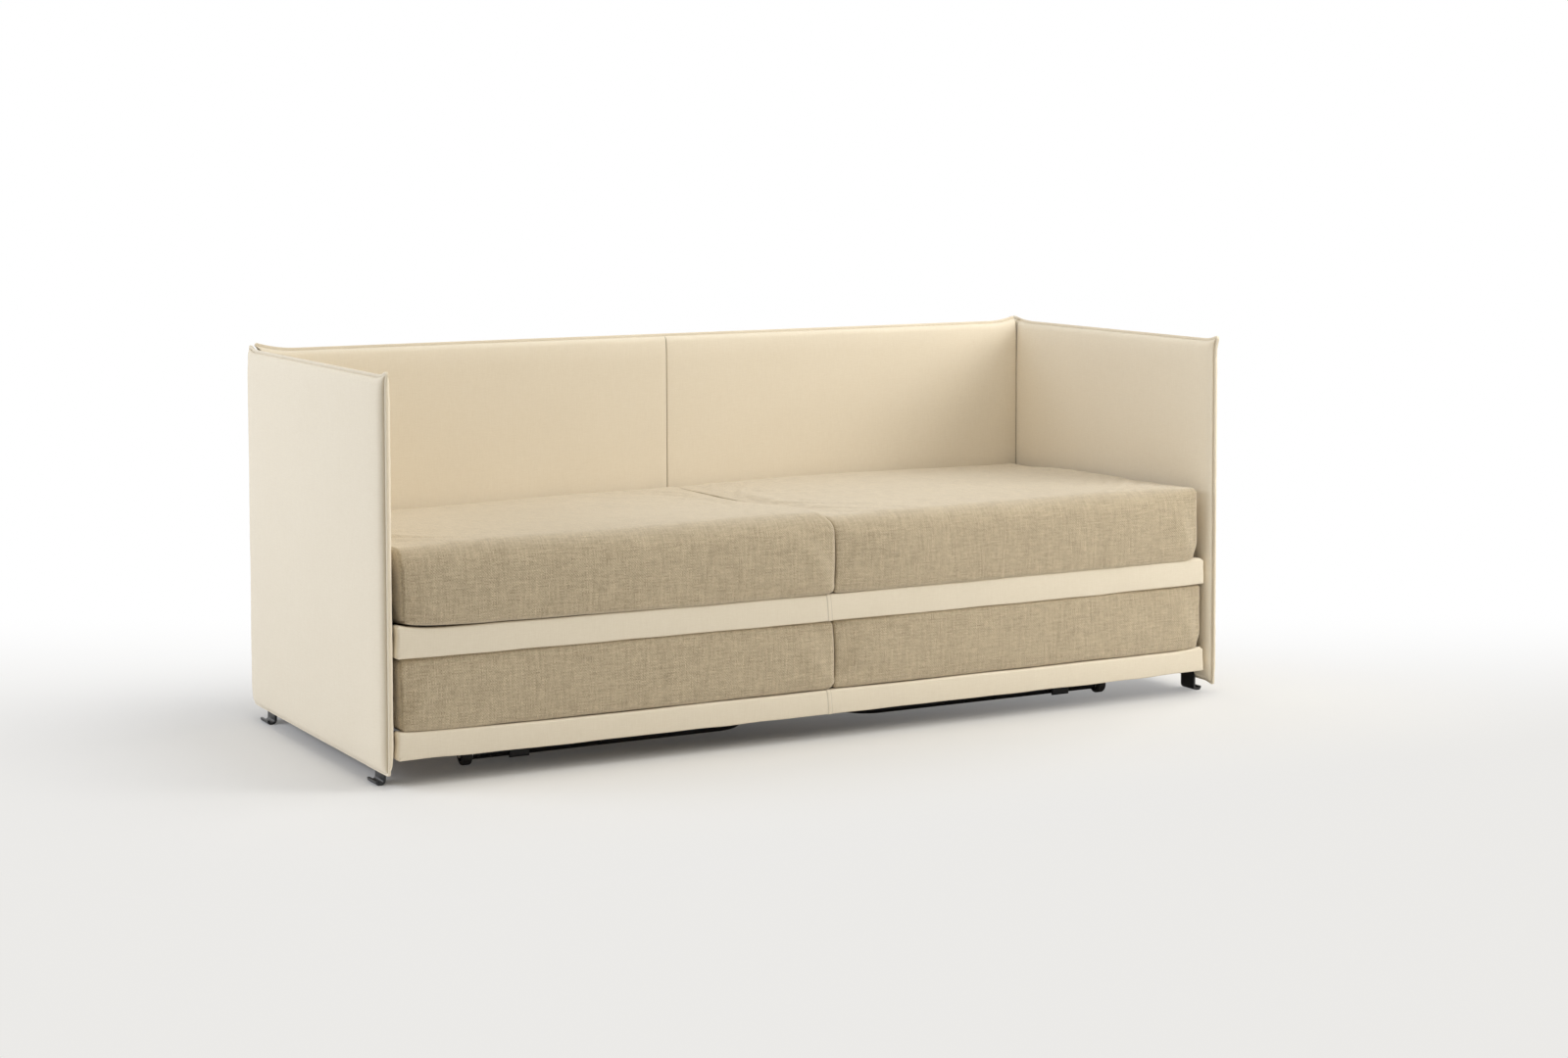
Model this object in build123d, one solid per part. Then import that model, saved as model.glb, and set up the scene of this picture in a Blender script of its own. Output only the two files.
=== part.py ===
from build123d import *
import os

# Trundle sofa bed, millimetres. X runs along the sofa, to the right seen from the front,
# Y from front to back and Z up. The origin is on the floor, in the middle of the sofa.

# Overall sizes
sofa_width = 2080.0
panel_depth = 852.0
panel_bottom = 28.0
panel_top = 835.0
panel_thickness = 35.0

# Clearances
soft_ease = 0.3
fit_ease = 0.05
screw_ease = 0.1
side_gap = 3.0
overrun = 2.0

# Panels: a board inside a padded cover with a standing seam and an ear at each corner
board_thickness = 18.0
edge_padding = 12.0
seam_depth = 7.0
seam_thickness = 3.0
ear_reach = 6.0
ear_run = 80.0
roll_radius = 16.0
butt_seam_depth = 2.5
butt_ear_reach = 1.0

# Feet of bent steel strip, screwed to the side boards
foot_width = 50.0
foot_thickness = 5.0
foot_height = 150.0
foot_bend = 8.0
foot_reach = 17.0
foot_tip_rise = 7.0
front_foot_setback = 86.0
rear_foot_setback = 81.0
foot_screw_shares = (1 / 2, 5 / 6)

# Wood screws
screw_radius = 2.0
screw_head_radius = 4.0
screw_head_height = 2.0
screw_depth = 14.0

# Corner angles between the back board and the side boards
angle_thickness = 3.0
angle_leg = 70.0
angle_height = 60.0
lower_angle_rise = 50.0
upper_angle_drop = 155.0
angle_screw_pitch = 36.0
angle_screw_inset = 20.0

# Bed frames of box tube
tube_wall = 2.0
rail_height = 40.0
rail_depth = 20.0
cross_bar_width = 30.0
cross_bar_height = 20.0
frame_rear_gap = 6.0
frame_end_gap = 5.0
upper_bar_shares = (-0.33, 0.33)
buffer_radius = 10.0
buffer_edge_radius = 2.0
buffer_shares = (-0.6, 0.6)

# Front bands: a board inside a padded cover
band_setback = 8.0
band_depth = 28.0
band_padding = 5.0
band_edge_radius = 6.0
upper_band_bottom = 258.0
upper_band_top = 316.0
lower_band_bottom = 53.0
lower_band_top = 108.0

# Slats and their holders
slat_count = 14
slat_end_gap = 90.0
slat_width = 60.0
slat_thickness = 8.0
slat_bow = 4.0
holder_length = 26.0
holder_wall = 2.5
holder_grip = 20.0
holder_head_room = 0.8

# Bolts through the rails
bolt_radius = 4.0
bolt_head_radius = 7.0
bolt_head_height = 4.5
spacer_radius = 12.0
nut_barrel_radius = 6.0
nut_barrel_length = 12.0
nut_flange_radius = 10.0
nut_flange_thickness = 1.5
front_bolt_setback = 146.0
rear_bolt_setback = 96.0
band_bolt_shares = (-0.82, -0.28, 0.28, 0.82)
band_bolt_depth = 14.0

# Cushions, each half of a mattress
cushion_end_gap = 20.0
cushion_setback = 2.0
upper_cushion_side = 152.0
upper_cushion_crown = 14.0
lower_cushion_side = 142.0
lower_cushion_crown = 5.0
cushion_draw_in = 4.0
cushion_side_puff = 3.0
cushion_top_radius = 40.0
cushion_bottom_radius = 24.0
cushion_end_round = 16.0
cover_thickness = 12.0

# Folding legs of bent round tube, one to each side, with a wheel on each free end
leg_tube_radius = 12.5
leg_arm_setback = 156.0
leg_pivot_x = 135.0
leg_end_inset = 215.0
leg_bend = 70.0
wheel_radius = 22.5
wheel_width = 20.0
wheel_side_gap = 0.5
hub_radius = 16.0
hub_width = 22.0
hub_recess_depth = 4.0
hub_boss_radius = 8.0
hub_rim = 2.5
tyre_edge_radius = 4.0
axle_radius = 4.0
axle_plug_length = 30.0
axle_collar = 3.0
axle_head_radius = 7.0
axle_head = 2.0

# Pivot brackets and clips under the lower frame
bracket_setback = 90.0
bracket_thickness = 6.0
bracket_eye_radius = 19.0
bracket_flange_length = 34.0
bracket_flange_thickness = 4.0
clip_inset = 102.0
clip_length = 44.0
clip_wall = 5.5
clip_edge_radius = 3.0
clip_drop = 14.0

# Places that follow from the sizes above
half_width = sofa_width / 2
half_depth = panel_depth / 2
inner_face = half_width - panel_thickness
panel_mid_x = half_width - panel_thickness / 2
padding = (panel_thickness - board_thickness) / 2
board_inner_x = inner_face + padding
board_outer_x = board_inner_x + board_thickness
back_mid_y = half_depth - panel_thickness / 2
back_front_y = back_mid_y - panel_thickness / 2
back_half_length = inner_face - soft_ease
board_front_y = back_front_y + padding
panel_height = panel_top - panel_bottom
panel_mid_z = (panel_top + panel_bottom) / 2
wheel_centre_z = wheel_radius
foot_screw_places = [share * foot_height for share in foot_screw_shares]
angle_places = (foot_height + lower_angle_rise, panel_top - upper_angle_drop)
front_foot_y = -half_depth + front_foot_setback
rear_foot_y = half_depth - rear_foot_setback
band_front = -half_depth + band_setback
rail_front_y = band_front + band_depth + soft_ease
rail_rear_y = back_front_y - frame_rear_gap
rail_end_x = inner_face - frame_end_gap
front_bolt_y = -half_depth + front_bolt_setback
rear_bolt_y = half_depth - rear_bolt_setback
frame_bolt_places = (front_bolt_y, (front_bolt_y + rear_bolt_y) / 2, rear_bolt_y)
band_bolt_places = [share * rail_end_x for share in band_bolt_shares]
upper_bar_places = [share * rail_end_x for share in upper_bar_shares]
buffer_places = [share * rail_end_x for share in buffer_shares]
slat_pitch = 2 * (rail_end_x - slat_end_gap) / (slat_count - 1)
cushion_half_length = inner_face - cushion_end_gap
cushion_front = -half_depth + cushion_setback
cushion_rear = back_front_y - side_gap
leg_arm_y = half_depth - leg_arm_setback
bracket_y = leg_arm_y - bracket_setback
leg_tube_end_x = rail_end_x - leg_end_inset
clip_x = leg_tube_end_x - clip_inset
upper_rail_top = upper_band_top - band_padding
lower_rail_top = lower_band_top - band_padding


def save(name, shape):
    """Write one node's solids to its file."""
    export_step(shape, os.path.join("parts", name + ".step"))


def block(x0, x1, y0, y1, z0, z1):
    """Square block between three pairs of planes."""
    centre = Pos((x0 + x1) / 2, (y0 + y1) / 2, (z0 + z1) / 2)
    return centre * Box(x1 - x0, y1 - y0, z1 - z0)


def rod_x(x0, x1, y, z, radius):
    """Round bar along X."""
    return Pos((x0 + x1) / 2, y, z) * Rot(Y=90) * Cylinder(radius, abs(x1 - x0))


def rod_y(x, y0, y1, z, radius):
    """Round bar along Y."""
    return Pos(x, (y0 + y1) / 2, z) * Rot(X=90) * Cylinder(radius, abs(y1 - y0))


def mirrored(shape):
    """The same piece on the left side."""
    return mirror(shape, about=Plane.YZ)


# Padded panels


def seam_outline(half_length, half_height, end_ear):
    """Straight sides that flare out to an ear at each corner."""
    ear_u = half_length + end_ear
    ear_v = half_height + ear_reach
    run_u = ear_u - ear_run
    run_v = ear_v - ear_run
    edges = []
    for u, v in ((1, 1), (-1, 1), (-1, -1), (1, -1)):
        tip = (u * ear_u, v * ear_v)
        edges.append(TangentArc((u * run_u, v * half_height), tip, tangent=(u, 0)))
        edges.append(TangentArc((u * half_length, v * run_v), tip, tangent=(0, v)))
    for v in (-1, 1):
        edges.append(Line((-run_u, v * half_height), (run_u, v * half_height)))
        edges.append(Line((v * half_length, -run_v), (v * half_length, run_v)))
    return make_face(edges)


def padded_slab(half_length, half_height, end_seam, end_ear):
    """Soft slab with rolled edges and a standing seam round its middle, thickness on X."""
    roll_length = half_length - end_seam
    roll_height = half_height - seam_depth
    slab = Box(panel_thickness, 2 * roll_length, 2 * roll_height)
    slab = fillet(slab.edges(), roll_radius)
    outline = Plane.YZ * seam_outline(half_length, half_height, end_ear)
    return slab + extrude(outline, amount=seam_thickness / 2, both=True)


def board(half_length, half_height):
    """Board that stiffens a panel, inset from its cover by the edge padding."""
    inset = seam_depth + edge_padding
    return Box(board_thickness, 2 * (half_length - inset), 2 * (half_height - inset))


def screw_x(x, y, z, inward):
    """Pan-head screw along X. Its head seats at x and its shank runs the way inward points."""
    shank = rod_x(x, x + inward * (foot_thickness + screw_depth), y, z, screw_radius)
    head = rod_x(x - inward * screw_head_height, x, y, z, screw_head_radius)
    return head + shank


def hole_x(x0, x1, y, z, radius):
    """Clearance hole along X."""
    return rod_x(x0, x1, y, z, radius + screw_ease)


# Right side panel, with its feet, screws and the holes for them


def foot(y):
    """Strip bent outwards at the floor, with its tip turned up."""
    x_mid = board_inner_x - foot_thickness / 2
    z_mid = foot_thickness / 2
    tip_x = x_mid + foot_reach
    path = FilletPolyline(
        (x_mid, foot_height), (x_mid, z_mid), (tip_x, z_mid), (tip_x, z_mid + foot_tip_rise),
        radius=(foot_bend, foot_thickness),
    )
    strip = Plane.XZ * trace(path, line_width=foot_thickness)
    strip = Pos(0, y, 0) * extrude(strip, amount=foot_width / 2, both=True)
    for z in foot_screw_places:
        strip -= hole_x(board_inner_x - foot_thickness - overrun, board_inner_x + overrun,
                        y, z, screw_radius)
    return strip


def foot_screws(y):
    """The two screws of one foot."""
    x = board_inner_x - foot_thickness
    return [screw_x(x, y, z, 1) for z in foot_screw_places]


def corner_angle(z):
    """Angle that lies on the side board's inner face and the back board's front face."""
    y1 = board_front_y
    x1 = board_inner_x
    half = angle_height / 2
    angle = block(x1 - angle_thickness, x1, y1 - angle_leg, y1, z - half, z + half)
    angle += block(x1 - angle_leg, x1, y1 - angle_thickness, y1, z - half, z + half)
    for dz in (-angle_screw_pitch / 2, angle_screw_pitch / 2):
        y_hole = y1 - angle_leg + angle_screw_inset
        x_hole = x1 - angle_leg + angle_screw_inset
        angle -= hole_x(x1 - angle_thickness - overrun, x1 + overrun, y_hole, z + dz, screw_radius)
        angle -= rod_y(x_hole, y1 - angle_thickness - overrun, y1 + overrun, z + dz,
                       screw_radius + screw_ease)
    return angle


def corner_screws(z):
    """The four screws of one corner angle."""
    screws = []
    y1 = board_front_y
    x1 = board_inner_x
    for dz in (-angle_screw_pitch / 2, angle_screw_pitch / 2):
        y_hole = y1 - angle_leg + angle_screw_inset
        x_seat = x1 - angle_thickness
        shank = rod_x(x_seat, x_seat + screw_depth, y_hole, z + dz, screw_radius)
        head = rod_x(x_seat - screw_head_height, x_seat, y_hole, z + dz, screw_head_radius)
        screws.append(head + shank)
        x_hole = x1 - angle_leg + angle_screw_inset
        y_seat = y1 - angle_thickness
        shank = rod_y(x_hole, y_seat, y_seat + screw_depth, z + dz, screw_radius)
        head = rod_y(x_hole, y_seat - screw_head_height, y_seat, z + dz, screw_head_radius)
        screws.append(head + shank)
    return screws


def angle_pocket(z):
    """Room in both covers for one corner angle and its screw heads."""
    reach = angle_leg + soft_ease
    half = angle_height / 2 + soft_ease
    depth = angle_thickness + screw_head_height + soft_ease
    y1 = board_front_y
    x1 = board_inner_x
    pocket = block(x1 - depth, x1, y1 - reach, y1, z - half, z + half)
    return pocket + block(x1 - reach, x1, y1 - depth, y1, z - half, z + half)


def side_board():
    """Right side board with screw holes and the bolt holes of the upper bed."""
    shape = Pos(panel_mid_x, 0, panel_mid_z) * board(half_depth, panel_height / 2)
    for y in (front_foot_y, rear_foot_y):
        for z in foot_screw_places:
            shape -= hole_x(board_inner_x - overrun, board_inner_x + screw_depth + screw_ease,
                            y, z, screw_radius)
    for z in angle_places:
        for dz in (-angle_screw_pitch / 2, angle_screw_pitch / 2):
            y = board_front_y - angle_leg + angle_screw_inset
            shape -= hole_x(board_inner_x - overrun, board_inner_x + screw_depth, y, z + dz,
                            screw_radius)
    for y in frame_bolt_places:
        shape -= rod_x(board_inner_x - overrun, board_outer_x + overrun, y, frame_bolt_z,
                       bolt_radius + screw_ease)
        shape -= rod_x(board_outer_x - nut_barrel_length - screw_ease, board_outer_x + overrun, y,
                       frame_bolt_z, nut_barrel_radius + screw_ease)
    return shape


def side_cover():
    """Padded cover of the right side panel, open where a foot, angle or spacer passes."""
    shape = padded_slab(half_depth, panel_height / 2, seam_depth, ear_reach)
    shape = Pos(panel_mid_x, 0, panel_mid_z) * shape
    inset = seam_depth + edge_padding
    half_y = half_depth - inset
    half_z = panel_height / 2 - inset
    shape -= block(board_inner_x, board_outer_x, -half_y, half_y,
                   panel_mid_z - half_z, panel_mid_z + half_z)
    for y in (front_foot_y, rear_foot_y):
        half = foot_width / 2 + soft_ease
        depth = foot_thickness + screw_head_height + soft_ease
        shape -= block(board_inner_x - depth, board_inner_x, y - half, y + half,
                       panel_bottom - overrun, foot_height + soft_ease)
    for z in angle_places:
        shape -= angle_pocket(z)
    for y in frame_bolt_places:
        shape -= rod_x(inner_face - overrun, board_inner_x, y, frame_bolt_z,
                       spacer_radius + soft_ease)
        shape -= rod_x(board_outer_x, board_outer_x + nut_flange_thickness + soft_ease, y,
                       frame_bolt_z, nut_flange_radius + soft_ease)
    return shape


def back_board():
    """Back board with the holes of the corner angles."""
    shape = Rot(Z=90) * board(back_half_length, panel_height / 2)
    shape = Pos(0, back_mid_y, panel_mid_z) * shape
    x = board_inner_x - angle_leg + angle_screw_inset
    for z in angle_places:
        for dz in (-angle_screw_pitch / 2, angle_screw_pitch / 2):
            for side in (-1, 1):
                shape -= rod_y(side * x, board_front_y - overrun, board_front_y + screw_depth,
                               z + dz, screw_radius + screw_ease)
    return shape


def back_cover():
    """Padded cover of the back panel, which stands between the side panels."""
    shape = padded_slab(back_half_length - butt_ear_reach, panel_height / 2,
                        butt_seam_depth, butt_ear_reach)
    shape = Pos(0, back_mid_y, panel_mid_z) * Rot(Z=90) * shape
    inset = seam_depth + edge_padding
    half_x = back_half_length - inset
    half_z = panel_height / 2 - inset
    shape -= block(-half_x, half_x, board_front_y, board_front_y + board_thickness,
                   panel_mid_z - half_z, panel_mid_z + half_z)
    for z in angle_places:
        shape -= angle_pocket(z)
        shape -= mirrored(angle_pocket(z))
    return shape


# Bed frames of box tube, upper and lower alike


def box_tube(x0, x1, y0, y1, z0, z1, along):
    """Hollow bar, open at the ends of the axis it runs along."""
    tube = block(x0, x1, y0, y1, z0, z1)
    wall = {"x": (-overrun, tube_wall), "y": (tube_wall, -overrun)}[along]
    bore = block(x0 + wall[0], x1 - wall[0], y0 + wall[1], y1 - wall[1],
                 z0 + tube_wall, z1 - tube_wall)
    return tube - bore


def front_rail(top):
    """Front rail, drilled for the bolts of the front band."""
    rail = box_tube(-rail_end_x, rail_end_x, rail_front_y, rail_front_y + rail_depth,
                    top - rail_height, top, "x")
    for x in band_bolt_places:
        rail -= rod_y(x, rail_front_y - overrun, rail_front_y + rail_depth + overrun,
                      top - rail_height / 2, bolt_radius + screw_ease)
    return rail


def rear_rail(top):
    """Rear rail, just in front of the back panel."""
    return box_tube(-rail_end_x, rail_end_x, rail_rear_y - rail_depth, rail_rear_y,
                    top - rail_height, top, "x")


def buffers(top):
    """Rubber stops on the lower rear rail, which meet the back panel as the bed closes."""
    stops = []
    for x in buffer_places:
        stop = rod_y(x, rail_rear_y, back_front_y - soft_ease, top - rail_height / 2,
                     buffer_radius)
        stops.append(fillet(stop.edges().group_by(Axis.Y)[-1], buffer_edge_radius))
    return stops


def end_rail(top, bolted):
    """Right end rail, butted between the front and rear rails."""
    rail = box_tube(rail_end_x - rail_depth, rail_end_x, rail_front_y + rail_depth,
                    rail_rear_y - rail_depth, top - rail_height, top, "y")
    if bolted:
        for y in frame_bolt_places:
            rail -= rod_x(rail_end_x - rail_depth - overrun, rail_end_x + overrun, y,
                          frame_bolt_z, bolt_radius + screw_ease)
    return rail


def cross_bars(top, places):
    """Bars from front rail to rear rail, under the slats."""
    z0 = top - rail_height
    return [
        box_tube(x - cross_bar_width / 2, x + cross_bar_width / 2, rail_front_y + rail_depth,
                 rail_rear_y - rail_depth, z0, z0 + cross_bar_height, "y")
        for x in places
    ]


def slat_places():
    """Middle of each slat along X."""
    first = -slat_pitch * (slat_count - 1) / 2
    return [first + slat_pitch * i for i in range(slat_count)]


def slats(top_of_bow):
    """Slats bowed upwards, each with its ends in two holders."""
    end_y0 = rail_front_y + rail_depth + holder_length - holder_grip
    end_y1 = rail_rear_y - rail_depth - holder_length + holder_grip
    mid_y = (end_y0 + end_y1) / 2
    z_end = top_of_bow - slat_bow
    under = z_end - slat_thickness
    side = make_face([
        Line((end_y0, under), (end_y0, z_end)),
        ThreePointArc((end_y0, z_end), (mid_y, top_of_bow), (end_y1, z_end)),
        Line((end_y1, z_end), (end_y1, under)),
        ThreePointArc((end_y1, under), (mid_y, under + slat_bow), (end_y0, under)),
    ])
    slat = extrude(Plane.YZ * side, amount=slat_width / 2, both=True)
    return [Pos(x, 0, 0) * slat for x in slat_places()]


def slat_holders(top_of_bow):
    """Caps on the inner faces of the front and rear rails, open towards the slat."""
    z1 = top_of_bow - slat_bow + holder_head_room
    z0 = top_of_bow - slat_bow - slat_thickness - soft_ease
    half = slat_width / 2 + soft_ease
    front_y = rail_front_y + rail_depth
    rear_y = rail_rear_y - rail_depth
    holders = []
    for x in slat_places():
        for root, mouth in ((front_y, front_y + holder_length), (rear_y, rear_y - holder_length)):
            low, high = sorted((root, mouth))
            cap = block(x - half - holder_wall, x + half + holder_wall, low, high,
                        z0 - holder_wall, z1 + holder_wall)
            inward = 1 if mouth > root else -1
            floor_y = mouth - inward * (holder_grip + soft_ease)
            low, high = sorted((floor_y, mouth + inward * overrun))
            holders.append(cap - block(x - half, x + half, low, high, z0, z1))
    return holders


def band_board(bottom, top):
    """Board inside a front band."""
    half = inner_face - side_gap - band_padding
    return block(-half, half, band_front + band_padding, band_front + band_depth - band_padding,
                 bottom + band_padding, top - band_padding)


def band_cover(bottom, top):
    """Padded cover of a front band."""
    half = inner_face - side_gap
    cover = block(-half, half, band_front, band_front + band_depth, bottom, top)
    cover = fillet(cover.edges(), band_edge_radius) - band_board(bottom, top)
    z = top - band_padding - rail_height / 2
    for x in band_bolt_places:
        cover -= rod_y(x, band_front + band_depth - band_padding - overrun, rail_front_y, z,
                       bolt_radius + screw_ease)
    return cover


def drilled_band_board(bottom, top):
    """Band board with its blind bolt holes."""
    z = top - band_padding - rail_height / 2
    shape = band_board(bottom, top)
    y1 = band_front + band_depth - band_padding
    for x in band_bolt_places:
        shape -= rod_y(x, y1 - band_bolt_depth, y1 + overrun, z, bolt_radius + screw_ease)
    return shape


def band_bolts(top):
    """Bolts from behind the front rail into the band board."""
    z = top - band_padding - rail_height / 2
    seat = rail_front_y + rail_depth
    end = band_front + band_depth - band_padding - band_bolt_depth + screw_ease
    return [
        rod_y(x, end, seat, z, bolt_radius)
        + rod_y(x, seat, seat + bolt_head_height, z, bolt_head_radius)
        for x in band_bolt_places
    ]


# Fixing of the upper bed to the side panels

frame_bolt_z = upper_rail_top - rail_height / 2


def frame_spacer(y):
    """Ring through the padding, so that the bolt clamps rail to board."""
    ring = rod_x(rail_end_x, board_inner_x, y, frame_bolt_z, spacer_radius)
    return ring - rod_x(rail_end_x - overrun, board_inner_x + overrun, y, frame_bolt_z,
                        bolt_radius + screw_ease)


def frame_bolt(y):
    """Bolt from inside the end rail into its insert nut."""
    seat = rail_end_x - rail_depth
    shank = rod_x(seat, board_outer_x, y, frame_bolt_z, bolt_radius)
    return shank + rod_x(seat - bolt_head_height, seat, y, frame_bolt_z, bolt_head_radius)


def insert_nut(y):
    """Flanged nut let into the outer face of the side board."""
    nut = rod_x(board_outer_x - nut_barrel_length, board_outer_x, y, frame_bolt_z,
                nut_barrel_radius)
    nut += rod_x(board_outer_x, board_outer_x + nut_flange_thickness, y, frame_bolt_z,
                 nut_flange_radius)
    return nut - rod_x(board_outer_x - nut_barrel_length - overrun,
                       board_outer_x + nut_flange_thickness + overrun, y, frame_bolt_z,
                       bolt_radius + fit_ease)


# Cushions

end_inset_shares = ((0.0, 1.0), (0.35, 0.42), (1.0, 0.0))
crown_shares = (0.25, 0.55, 1.0, 0.55, 0.25)


def cushion_section(x, bottom, side, crown, inset, draw):
    """Front-to-back section of a cushion at x: rounded corners and a crowned top."""
    y0 = cushion_front + cushion_side_puff + inset + draw
    y1 = cushion_rear - cushion_side_puff - inset - draw
    z0 = bottom + inset
    z1 = bottom + side - inset
    mid_y = (y0 + y1) / 2
    mid_z = (z0 + z1) / 2
    top = cushion_top_radius
    low = cushion_bottom_radius
    puff = cushion_side_puff
    edges = [
        Line((y0 + low, z0), (y1 - low, z0)),
        CenterArc((y1 - low, z0 + low), low, 270, 90),
        ThreePointArc((y1, z0 + low), (y1 + puff, mid_z), (y1, z1 - top)),
        CenterArc((y1 - top, z1 - top), top, 0, 90),
        ThreePointArc((y1 - top, z1), (mid_y, z1 + crown), (y0 + top, z1)),
        CenterArc((y0 + top, z1 - top), top, 90, 90),
        ThreePointArc((y0, z1 - top), (y0 - puff, mid_z), (y0, z0 + low)),
        CenterArc((y0 + low, z0 + low), low, 180, 90),
    ]
    return Plane.YZ.offset(x) * make_face(edges)


def cushion_form(bottom, side, crown):
    """Right cushion: full at its corners, drawn in and crowned towards its middle."""
    x0 = soft_ease
    x1 = cushion_half_length
    sections = []
    for run, inset in end_inset_shares:
        sections.append(cushion_section(x0 + run * cushion_end_round, bottom, side,
                                        crown_shares[0] * crown, inset * cushion_end_round, 0))
    inner = len(crown_shares) - 1
    for i in range(1, inner):
        x = x0 + (x1 - x0) * i / inner
        draw = cushion_draw_in * crown_shares[i]
        sections.append(cushion_section(x, bottom, side, crown_shares[i] * crown, 0, draw))
    for run, inset in reversed(end_inset_shares):
        sections.append(cushion_section(x1 - run * cushion_end_round, bottom, side,
                                        crown_shares[0] * crown, inset * cushion_end_round, 0))
    return loft(sections, ruled=True)


def cushion_core(bottom, side, ease):
    """Foam block of a cushion, or its room in the cover when ease is given."""
    wall = cover_thickness + cushion_end_round / 2 - ease
    core = block(wall, cushion_half_length - wall, cushion_front + wall + cushion_draw_in,
                 cushion_rear - wall - cushion_draw_in, bottom + cover_thickness - ease,
                 bottom + side - cover_thickness + ease)
    return chamfer(core.edges().filter_by(Axis.X), cover_thickness)


def cushion(bottom, side, crown):
    """Cover and foam of the right cushion."""
    cover = cushion_form(bottom, side, crown) - cushion_core(bottom, side, soft_ease)
    return cover, cushion_core(bottom, side, 0)


# Folding legs, wheels and what carries them


def leg_tube():
    """Right leg: two arms joined by a cross piece that is the leg's pivot."""
    path = FilletPolyline(
        (leg_tube_end_x, -leg_arm_y), (leg_pivot_x, -leg_arm_y),
        (leg_pivot_x, leg_arm_y), (leg_tube_end_x, leg_arm_y),
        radius=leg_bend,
    )
    section = Plane(origin=path @ 0, z_dir=path % 0) * (
        Circle(leg_tube_radius) - Circle(leg_tube_radius - tube_wall))
    return Pos(0, 0, wheel_centre_z) * sweep(section, path=path)


def axle(y):
    """Stepped axle: a plug in the tube's end, a collar, the wheel's shaft and its head."""
    z = wheel_centre_z
    x = leg_tube_end_x
    shaft_end = x + axle_collar + hub_width + 2 * wheel_side_gap
    shape = rod_x(x - axle_plug_length, x, y, z, leg_tube_radius - tube_wall - fit_ease)
    shape += rod_x(x, x + axle_collar, y, z, leg_tube_radius)
    shape += rod_x(x + axle_collar, shaft_end, y, z, axle_radius)
    return shape + rod_x(shaft_end, shaft_end + axle_head, y, z, axle_head_radius)


wheel_mid_x = leg_tube_end_x + axle_collar + wheel_side_gap + hub_width / 2


def turned(profile, y):
    """Revolve a (radius, x) profile about the wheel's axle."""
    shape = revolve(Plane.XY * profile, axis=Axis.X)
    return Pos(wheel_mid_x, y, wheel_centre_z) * shape


def wheel_hub(y):
    """Hub with a dished web between its boss and its rim."""
    half = hub_width / 2
    rim = hub_radius - hub_rim
    dish = half - hub_recess_depth
    bore = axle_radius + fit_ease
    profile = make_face(Polyline(
        (-half, bore), (-half, hub_boss_radius), (-dish, hub_boss_radius), (-dish, rim),
        (-wheel_width / 2, rim), (-wheel_width / 2, hub_radius), (wheel_width / 2, hub_radius),
        (wheel_width / 2, rim), (dish, rim), (dish, hub_boss_radius), (half, hub_boss_radius),
        (half, bore), close=True,
    ))
    return turned(profile, y)


def wheel_tyre(y):
    """Tyre with rounded shoulders."""
    half = wheel_width / 2
    ring = Pos(0, (hub_radius + fit_ease + wheel_radius) / 2) * Rectangle(
        wheel_width, wheel_radius - hub_radius - fit_ease)
    shoulders = ring.vertices().filter_by_position(Axis.Y, wheel_radius - fit_ease,
                                                   wheel_radius + fit_ease)
    return turned(fillet(shoulders, tyre_edge_radius), y)


lower_bar_bottom = lower_rail_top - rail_height
lower_bar_places = (-clip_x, -leg_pivot_x, leg_pivot_x, clip_x)


def pivot_bracket(y):
    """Plate with an eye round the leg's cross piece, and a flange under the cross bar."""
    z = wheel_centre_z
    half = cross_bar_width / 2
    plate = Circle(bracket_eye_radius) + Pos(0, (lower_bar_bottom - z) / 2) * Rectangle(
        2 * half, lower_bar_bottom - z)
    plate -= Circle(leg_tube_radius + fit_ease)
    shape = extrude(Plane.XZ * plate, amount=bracket_thickness / 2, both=True)
    shape = Pos(leg_pivot_x, y, z) * shape
    inward = -1 if y > 0 else 1
    y0, y1 = sorted((y, y + inward * bracket_flange_length))
    return shape + block(leg_pivot_x - half, leg_pivot_x + half, y0, y1,
                         lower_bar_bottom - bracket_flange_thickness, lower_bar_bottom)


def leg_clip(y):
    """Saddle over the folded arm, open downwards."""
    z = wheel_centre_z
    slot = leg_tube_radius + soft_ease
    half = slot + clip_wall
    low = z - clip_drop
    shape = block(clip_x - clip_length / 2, clip_x + clip_length / 2, y - half, y + half,
                  low, lower_bar_bottom)
    lengthwise = shape.edges().filter_by(Axis.X).group_by(Axis.Z)[0]
    shape = fillet(lengthwise, clip_edge_radius)
    over = clip_x - clip_length / 2 - overrun
    shape -= rod_x(over, over + clip_length + 2 * overrun, y, z, slot)
    return shape - block(over, over + clip_length + 2 * overrun, y - slot, y + slot,
                         low - overrun, z)


# Build and write every node

os.makedirs("parts", exist_ok=True)

right_board = side_board()
right_cover = side_cover()
save("right_panel_board", right_board)
save("left_panel_board", mirrored(right_board))
save("right_panel_cover", right_cover)
save("left_panel_cover", mirrored(right_cover))
save("back_panel_board", back_board())
save("back_panel_cover", back_cover())

for place, foot_y in (("front", front_foot_y), ("rear", rear_foot_y)):
    save(place + "_right_foot", foot(foot_y))
    save(place + "_left_foot", mirrored(foot(foot_y)))


def both_sides(pieces):
    """Right-hand pieces with their mirror images, as one group of separate solids."""
    return Compound(children=list(pieces) + [mirrored(piece) for piece in pieces])


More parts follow.
